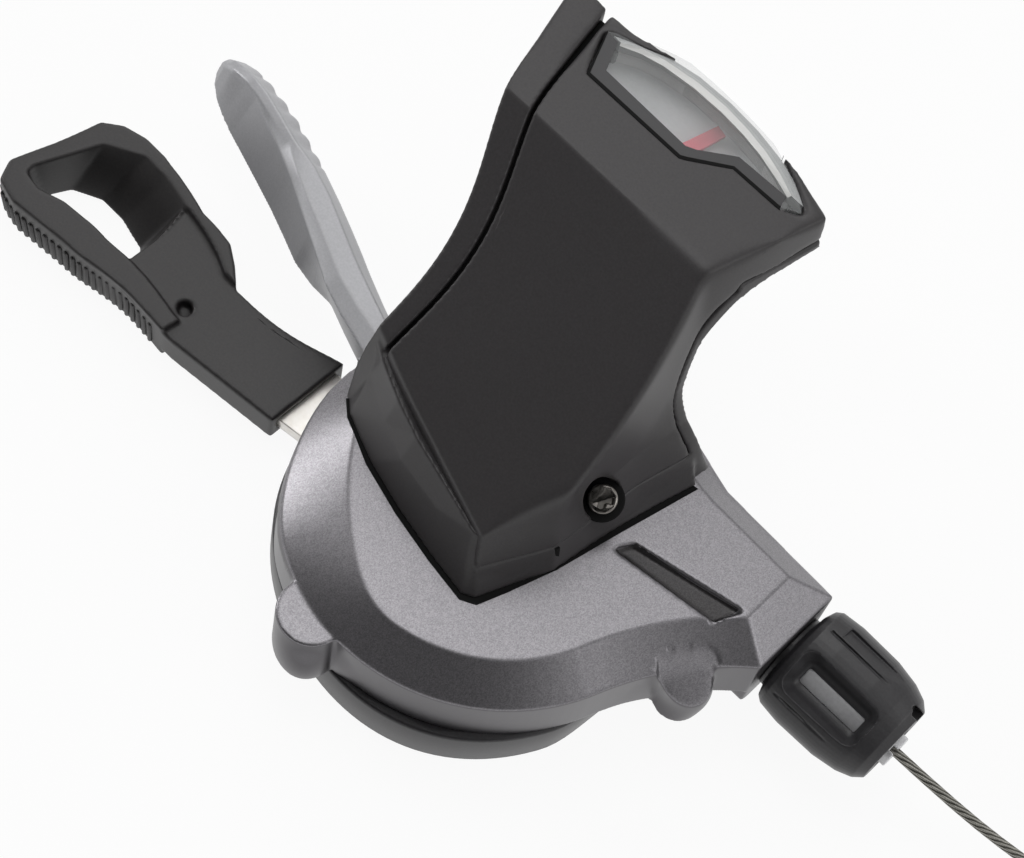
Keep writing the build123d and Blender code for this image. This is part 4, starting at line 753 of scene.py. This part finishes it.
ramp_edge = [
    (-18.6, -3.0, 30.6), (-16.6, -3.9, 30.3), (-11.9, -5.6, 29.5), (-7.8, -6.9, 28.8), (-1.5, -8.3, 27.9),
    (3.6, -9.5, 27.2), (4.9, -9.0, 27.3), (7.0, -5.6, 27.0), (9.2, -2.2, 26.0), (9.9, 2.0, 23.4),
    (11.9, 14.8, 22.4),
]
housing = blank_of("display_rear_housing", "display_rear_housing_moulded")
foot = strip("foot_low", foot_low, foot_crease, 1.4)
foot_band = strip("foot_band", foot_crease, ramp_edge, 1.2)
take_up(housing)
foot.select_set(True)
foot_band.select_set(True)
bpy.ops.object.join()
melt(housing, 0.2, 7, 0.35)
head_trims = (
    ((-20.0, 10.2, 35), 19, (3.0, 0.75, 0)), ((-20.0, 39.5, 45), 9, (0.4, -1.3, 0)),
    ((9.8, 16.7, 24), 9, (1.2, 1.3, 0)),
)
soft_corners = (((8.6, 36.0, 44.5), 6.5), ((-23.6, 37.0, 45.5), 4.5), ((-27.0, 31.0, 46.5), 6.0))
round_off(housing, soft_corners, 40)
for spot, reach, shift in head_trims:
    press(housing, spot, reach, shift)
seam_line = [
    (-24.3, 35.6, 45.2), (-23.87, 33.77, 45.2), (-21.97, 26.29, 45.2), (-20.18, 19.4, 44.0),
    (-19.13, 15.48, 41.6), (-17.76, 11.8, 39.3),
    (-16.25, 7.84, 36.9), (-15.89, 3.71, 34.3), (-15.54, -0.44, 31.7), (-16.05, -2.4, 30.4),
]
# A near-black strip along the seam between the left strip and the front cover: painted shade in the seam.
SEAM_SHADE_LEFT, SEAM_SHADE_RIGHT = 1.6, 1.9
seam_shade = strip(
    "seam_shade_strip", [(x - SEAM_SHADE_LEFT, y, z) for x, y, z in seam_line],
    [(x + SEAM_SHADE_RIGHT, y, z) for x, y, z in seam_line], 0.6,
)
fit(seam_shade, gap_shade_black, "housing", "black_plastic")
fit(housing, abs_black, "housing", "black_plastic", "display_rear_housing")
# A near-black block in the slit on the foot's right: painted shade in the slit.
slit_shade = block(
    "foot_slit_shade",
    [(9.95, -2.95, 18.9), (10.5, -2.85, 18.9), (10.65, -2.4, 18.9), (10.1, -2.3, 18.9)],
    [(9.6, -2.95, 22.9), (10.08, -2.85, 22.9), (10.2, -2.4, 22.9), (9.7, -2.3, 22.9)],
)
fit(slit_shade, gap_shade_black, "housing", "black_plastic")

# Dial and needle: a grey printed plate under the lens, and a thin needle of red acrylic.
# The needle is painted darker towards its tip: painted shade under the lip.
dial, shader, place = fresh("grey_printed_sheet")
speckle(dial, shader, place, 0.4, "#d4d5d7", "#dbdcde")
shader.inputs["Roughness"].default_value = 0.6
nodes["dial_plate"].data.materials.clear()
nodes["dial_plate"].data.materials.append(dial)
red, shader, place = fresh("red_acrylic")
reach = node(red, "ShaderNodeSeparateXYZ", [(place, "Vector")])
tip_shade_fade = node(red, "ShaderNodeMapRange", [(reach.outputs["Y"], "Value")])
tip_shade_fade.inputs["From Min"].default_value = AXLE_FOOT.y + 31.5 * MM
tip_shade_fade.inputs["From Max"].default_value = AXLE_FOOT.y + 36.5 * MM
painted_shading_ramp = node(red, "ShaderNodeValToRGB", [(tip_shade_fade.outputs["Result"], "Fac")])
painted_shading_ramp.color_ramp.elements[0].color = tone("#f0586e")
painted_shading_ramp.color_ramp.elements[1].color = tone("#b0404c")
red.node_tree.links.new(painted_shading_ramp.outputs["Color"], shader.inputs["Base Color"])
shader.inputs["Roughness"].default_value = 0.45
nodes["needle"].data.materials.clear()
nodes["needle"].data.materials.append(red)

# Display's front cover: black ABS, from the foot up the ramp to the head, with the window let into it.
# The fold between the ramp and its right flank is broad and soft, the other edges have a small mould radius.
SCREW_SPOT = at(9.7, 4.3, 24.6)
screw_way = Vector((0.2, -0.3, 0.93)).normalized()
screw_frame = Matrix.Translation(SCREW_SPOT) @ screw_way.to_track_quat("Z", "Y").to_matrix().to_4x4()
front = blank_of("display_front_cover", "display_front_cover_moulded")
bpy.ops.object.select_all(action="DESELECT")
bpy.ops.mesh.primitive_cylinder_add(vertices=40, radius=2.3 * MM, depth=12 * MM)
well = bpy.context.object
well.data.transform(screw_frame @ Matrix.Translation((0, 0, 5.4 * MM)))
cut(front, well)
melt(front, 0.2, 7, 1.0)
fold = front.vertex_groups.new(name="fold")
fold_start, fold_end = at(2.4, 21.3, 46.7), at(9.0, -2.0, 32.0)
fold_line = fold_end - fold_start
for vertex in front.data.vertices:
    share = max(0.0, min(1.0, (vertex.co - fold_start).dot(fold_line) / fold_line.length_squared))
    off = (vertex.co - fold_start - fold_line * share).length / MM
    fold.add([vertex.index], max(0.0, min(1.0, (9.0 - off) / 4.0)), "REPLACE")
work(front, "SMOOTH", factor=0.5, iterations=120, vertex_group="fold")
round_off(front, soft_corners, 110)
work(front, "DECIMATE", ratio=0.3)
for spot, reach, shift in head_trims:
    press(front, spot, reach, shift)
take_up(front)
bpy.ops.object.shade_smooth()
fit(front, abs_black, "housing", "black_plastic", "display_front_cover")

# Window: a clear polycarbonate lens, with a dark border printed along its near sides
# and a thick moulded lip along its far side, coloured near white as a painted highlight.
polycarbonate, shader, place = fresh("clear_polycarbonate")
shader.inputs["Base Color"].default_value = tone("#d6d8d8")
shader.inputs["Roughness"].default_value = 0.04
shader.inputs["Alpha"].default_value = 0.16
nodes["window_lens"].data.materials.clear()
nodes["window_lens"].data.materials.append(polycarbonate)
LENS_TOP = 46.6
border_out = [(-22.8, 34.2), (-20.65, 29.2), (-7.5, 29.15), (-6.9, 29.5), (-2.8, 32.45), (3.7, 32.6)]
border_in = [(-21.3, 34.2), (-19.7, 30.7), (-7.9, 30.4), (-6.8, 30.95), (-3.25, 33.7), (3.3, 33.95)]
border = strip(
    "window_border", [(x, y, LENS_TOP + 0.04) for x, y in border_out],
    [(x, y, LENS_TOP + 0.04) for x, y in border_in], 0.08,
)
border_ink, shader, place = fresh("charcoal_screen_ink")
shader.inputs["Base Color"].default_value = tone("#2e2d2f")
shader.inputs["Roughness"].default_value = 0.35
fit(border, border_ink, "housing", "black_plastic")
lip_in = [
    (-20.9, 34.0), (-18.6, 35.05), (-16.1, 35.75), (-12.0, 36.25), (-8.0, 36.3), (-4.8, 36.05),
    (-2.0, 35.6), (0.8, 34.85), (3.4, 34.0),
]
lip_mid = [
    (-21.0, 34.3), (-18.8, 35.5), (-16.4, 36.3), (-12.2, 36.95), (-8.2, 37.05), (-4.8, 36.75),
    (-1.6, 36.2), (1.2, 35.35), (3.6, 34.35),
]
lip_out = [
    (-22.2, 34.6), (-19.8, 36.1), (-17.2, 37.0), (-12.6, 37.85), (-8.2, 38.0), (-4.0, 37.7),
    (-0.4, 37.05), (3.0, 36.0), (5.4, 34.6),
]
lip_highlight, shader, place = fresh("lip_painted_highlight_polycarbonate")
shader.inputs["Base Color"].default_value = tone("#f2f2f0")
shader.inputs["Roughness"].default_value = 0.12
shader.inputs["Transmission Weight"].default_value = 0.25
lip = strip("lens_lip", [(x, y, 46.55) for x, y in lip_in], [(x, y, 46.75) for x, y in lip_mid], 0.5)
fit(lip, lip_highlight, "housing", "clear_lens")
edge_clear, shader, place = fresh("thick_edge_polycarbonate")
shader.inputs["Base Color"].default_value = tone("#c9cbcb")
shader.inputs["Roughness"].default_value = 0.1
shader.inputs["Transmission Weight"].default_value = 0.35
far_floor = strip(
    "dial_far_edge", [(x, y - 1.6, 42.82) for x, y in lip_mid], [(x, y + 0.5, 42.82) for x, y in lip_mid], 0.5
)
fit(far_floor, dial, "housing", "dial_grey")
far_wall = strip(
    "dial_far_wall", [(x, y + 0.1, 42.6) for x, y in lip_mid], [(x, y + 0.1, 46.3) for x, y in lip_mid], 0.3
)
# Near white, lighter than the dial it meets, so the wall does not read as shaded: painted light.
wall_painted_light, shader, place = fresh("white_painted_light_wall")
speckle(wall_painted_light, shader, place, 0.4, "#efefee", "#f6f6f5")
fit(far_wall, wall_painted_light, "housing", "dial_grey")
# A near-black line between the front cover and the printed border: painted shade in the joint.
seam_out = [(-23.0, 34.3), (-20.8, 28.8), (-7.35, 28.75), (-6.7, 29.1), (-2.65, 32.1), (3.9, 32.2)]
window_seam_shade = strip(
    "window_seam_shade_line", [(x, y, LENS_TOP + 0.13) for x, y in seam_out], [(x, y, LENS_TOP + 0.13) for x, y in border_out], 0.3
)
fit(window_seam_shade, gap_shade_black, "housing", "black_plastic")
rim = strip("lens_rim", [(x, y, 46.72) for x, y in lip_mid], [(x, y, 46.3) for x, y in lip_out], 1.2)
fit(rim, edge_clear, "housing", "clear_lens")

# Display screw: a self-tapping cross-head screw of dark nickel plate, sunk in a well in the right flank.
# The well's floor is the housing's own boss, coloured near black as painted shade in the well.
nickel, shader, place = fresh("dark_nickel_plate")
speckle(nickel, shader, place, 0.5, "#7d7975", "#96928d")
shader.inputs["Metallic"].default_value = 0.9
shader.inputs["Roughness"].default_value = 0.28


def screw_disk(name, radius, low, high, sides=40):
    """A disk on the screw's axis, heights in mm from its seat."""
    bpy.ops.object.select_all(action="DESELECT")
    bpy.ops.mesh.primitive_cylinder_add(
        vertices=sides, radius=radius * MM, depth=(high - low) * MM, location=(0, 0, 0.5 * (low + high) * MM)
    )
    bpy.ops.object.transform_apply(location=True)
    bpy.context.object.name = name
    return bpy.context.object


head = screw_disk("display_screw_nickel", 1.65, -0.4, 0.55)
cut(head, slab("cross", (2.1, 0.62, 1.0), (0, 0, 0.5)), slab("cross_over", (0.62, 2.1, 1.0), (0, 0, 0.5)))
ease(head, 0.28)
head.data.transform(screw_frame)
fit(head, nickel, "housing", "steel", "display_screw")
well_floor_shade = screw_disk("screw_well_floor_shade", 2.5, -1.2, -0.35)
ease(well_floor_shade, 0.2)
well_floor_shade.data.transform(screw_frame)
fit(well_floor_shade, gap_shade_black, "housing", "black_plastic")

# Inner wire: 1.2 mm of twisted galvanised steel strands, in the adjuster and free outside it.
# The free end lies on the floor and is wound into a tied coil beside the part.
STRANDS, LAY_MM, FREE_MM = 8, 2.9, 1660.0
galvanised, shader, place = fresh("galvanised_strand")
shader.inputs["Base Color"].default_value = tone("#8d8b85")
shader.inputs["Metallic"].default_value = 0.85
shader.inputs["Roughness"].default_value = 0.36
for name in ("inner_wire", "wound_wire"):
    nodes[name].data.materials.clear()
    nodes[name].data.materials.append(galvanised)
twisted, shader, place = fresh("twisted_galvanised_strands")
sheet = node(twisted, "ShaderNodeTexCoord")
split = node(twisted, "ShaderNodeSeparateXYZ", [(sheet.outputs["UV"], "Vector")])
turns_along = node(twisted, "ShaderNodeMath", [(split.outputs["X"], 0)], operation="MULTIPLY")
turns_along.inputs[1].default_value = FREE_MM / LAY_MM
phase = node(twisted, "ShaderNodeMath", [(turns_along.outputs[0], 0), (split.outputs["Y"], 1)], operation="ADD")
rounds = node(twisted, "ShaderNodeMath", [(phase.outputs[0], 0)], operation="MULTIPLY")
rounds.inputs[1].default_value = 2 * pi * STRANDS
wave = node(twisted, "ShaderNodeMath", [(rounds.outputs[0], 0)], operation="SINE")
strand_relief_and_shade = node(twisted, "ShaderNodeMapRange", [(wave.outputs[0], "Value")])
strand_relief_and_shade.inputs["From Min"].default_value = -1.0
# Dark between the strands and light on their crowns: painted shade and painted highlight along the twist.
painted_shading_ramp = node(twisted, "ShaderNodeValToRGB", [(strand_relief_and_shade.outputs["Result"], "Fac")])
painted_shading_ramp.color_ramp.elements[0].color = tone("#4b4a44")
painted_shading_ramp.color_ramp.elements[0].position = 0.1
painted_shading_ramp.color_ramp.elements[1].color = tone("#a3a19a")
painted_shading_ramp.color_ramp.elements[1].position = 0.75
twisted.node_tree.links.new(painted_shading_ramp.outputs["Color"], shader.inputs["Base Color"])
ridge = node(twisted, "ShaderNodeBump", [(strand_relief_and_shade.outputs["Result"], "Height")], Strength=0.8, Distance=0.08 * MM)
twisted.node_tree.links.new(ridge.outputs["Normal"], shader.inputs["Normal"])
shader.inputs["Metallic"].default_value = 0.7
shader.inputs["Roughness"].default_value = 0.4
route = [(49.0, 13.0, 9.0), (57.0, 13.2, 8.8), (66.0, 14.8, 6.8), (76.0, 17.6, 4.6), (79.6, 18.5, 4.4)]
COIL = (83.0, 29.9)
LAYERS, ROWS, STEPS, PITCH = 6, 6, 16, 1.2
outer_turn, lowest = 10.15, 0.7
corner_loss = cos(pi / STEPS)
coil_points = []
for layer in range(LAYERS):
    radius = (outer_turn - PITCH * layer) / corner_loss
    for row in range(ROWS):
        for step in range(STEPS):
            angle = radians(-76) + 2 * pi * step / STEPS
            climbed = PITCH * (row + step / STEPS)
            level = lowest + (climbed if layer % 2 == 0 else PITCH * ROWS - climbed)
            coil_points.append((COIL[0] + radius * cos(angle), COIL[1] + radius * sin(angle), level))
line = bpy.data.curves.new("wire_line", "CURVE")
line.dimensions = "3D"
line.bevel_depth = 0.6 * MM
line.bevel_resolution = 2
line.resolution_u = 3
line.use_fill_caps = True
spline = line.splines.new("NURBS")
points = route + coil_points
spline.points.add(len(points) - 1)
for point, spot in zip(spline.points, points):
    point.co = (*at(*spot), 1)
spline.order_u = 3
spline.use_endpoint_u = True
wire = bpy.data.objects.new("free_wire", line)
bpy.context.scene.collection.objects.link(wire)
fit(wire, twisted, "housing", "wire_steel", "wire_tube", "wire_coil")
tie_nylon, shader, place = fresh("black_tie_nylon")
shader.inputs["Base Color"].default_value = tone("#2a2a2b")
shader.inputs["Roughness"].default_value = 0.5
nodes["coil_tie"].data.materials.clear()
nodes["coil_tie"].data.materials.append(tie_nylon)
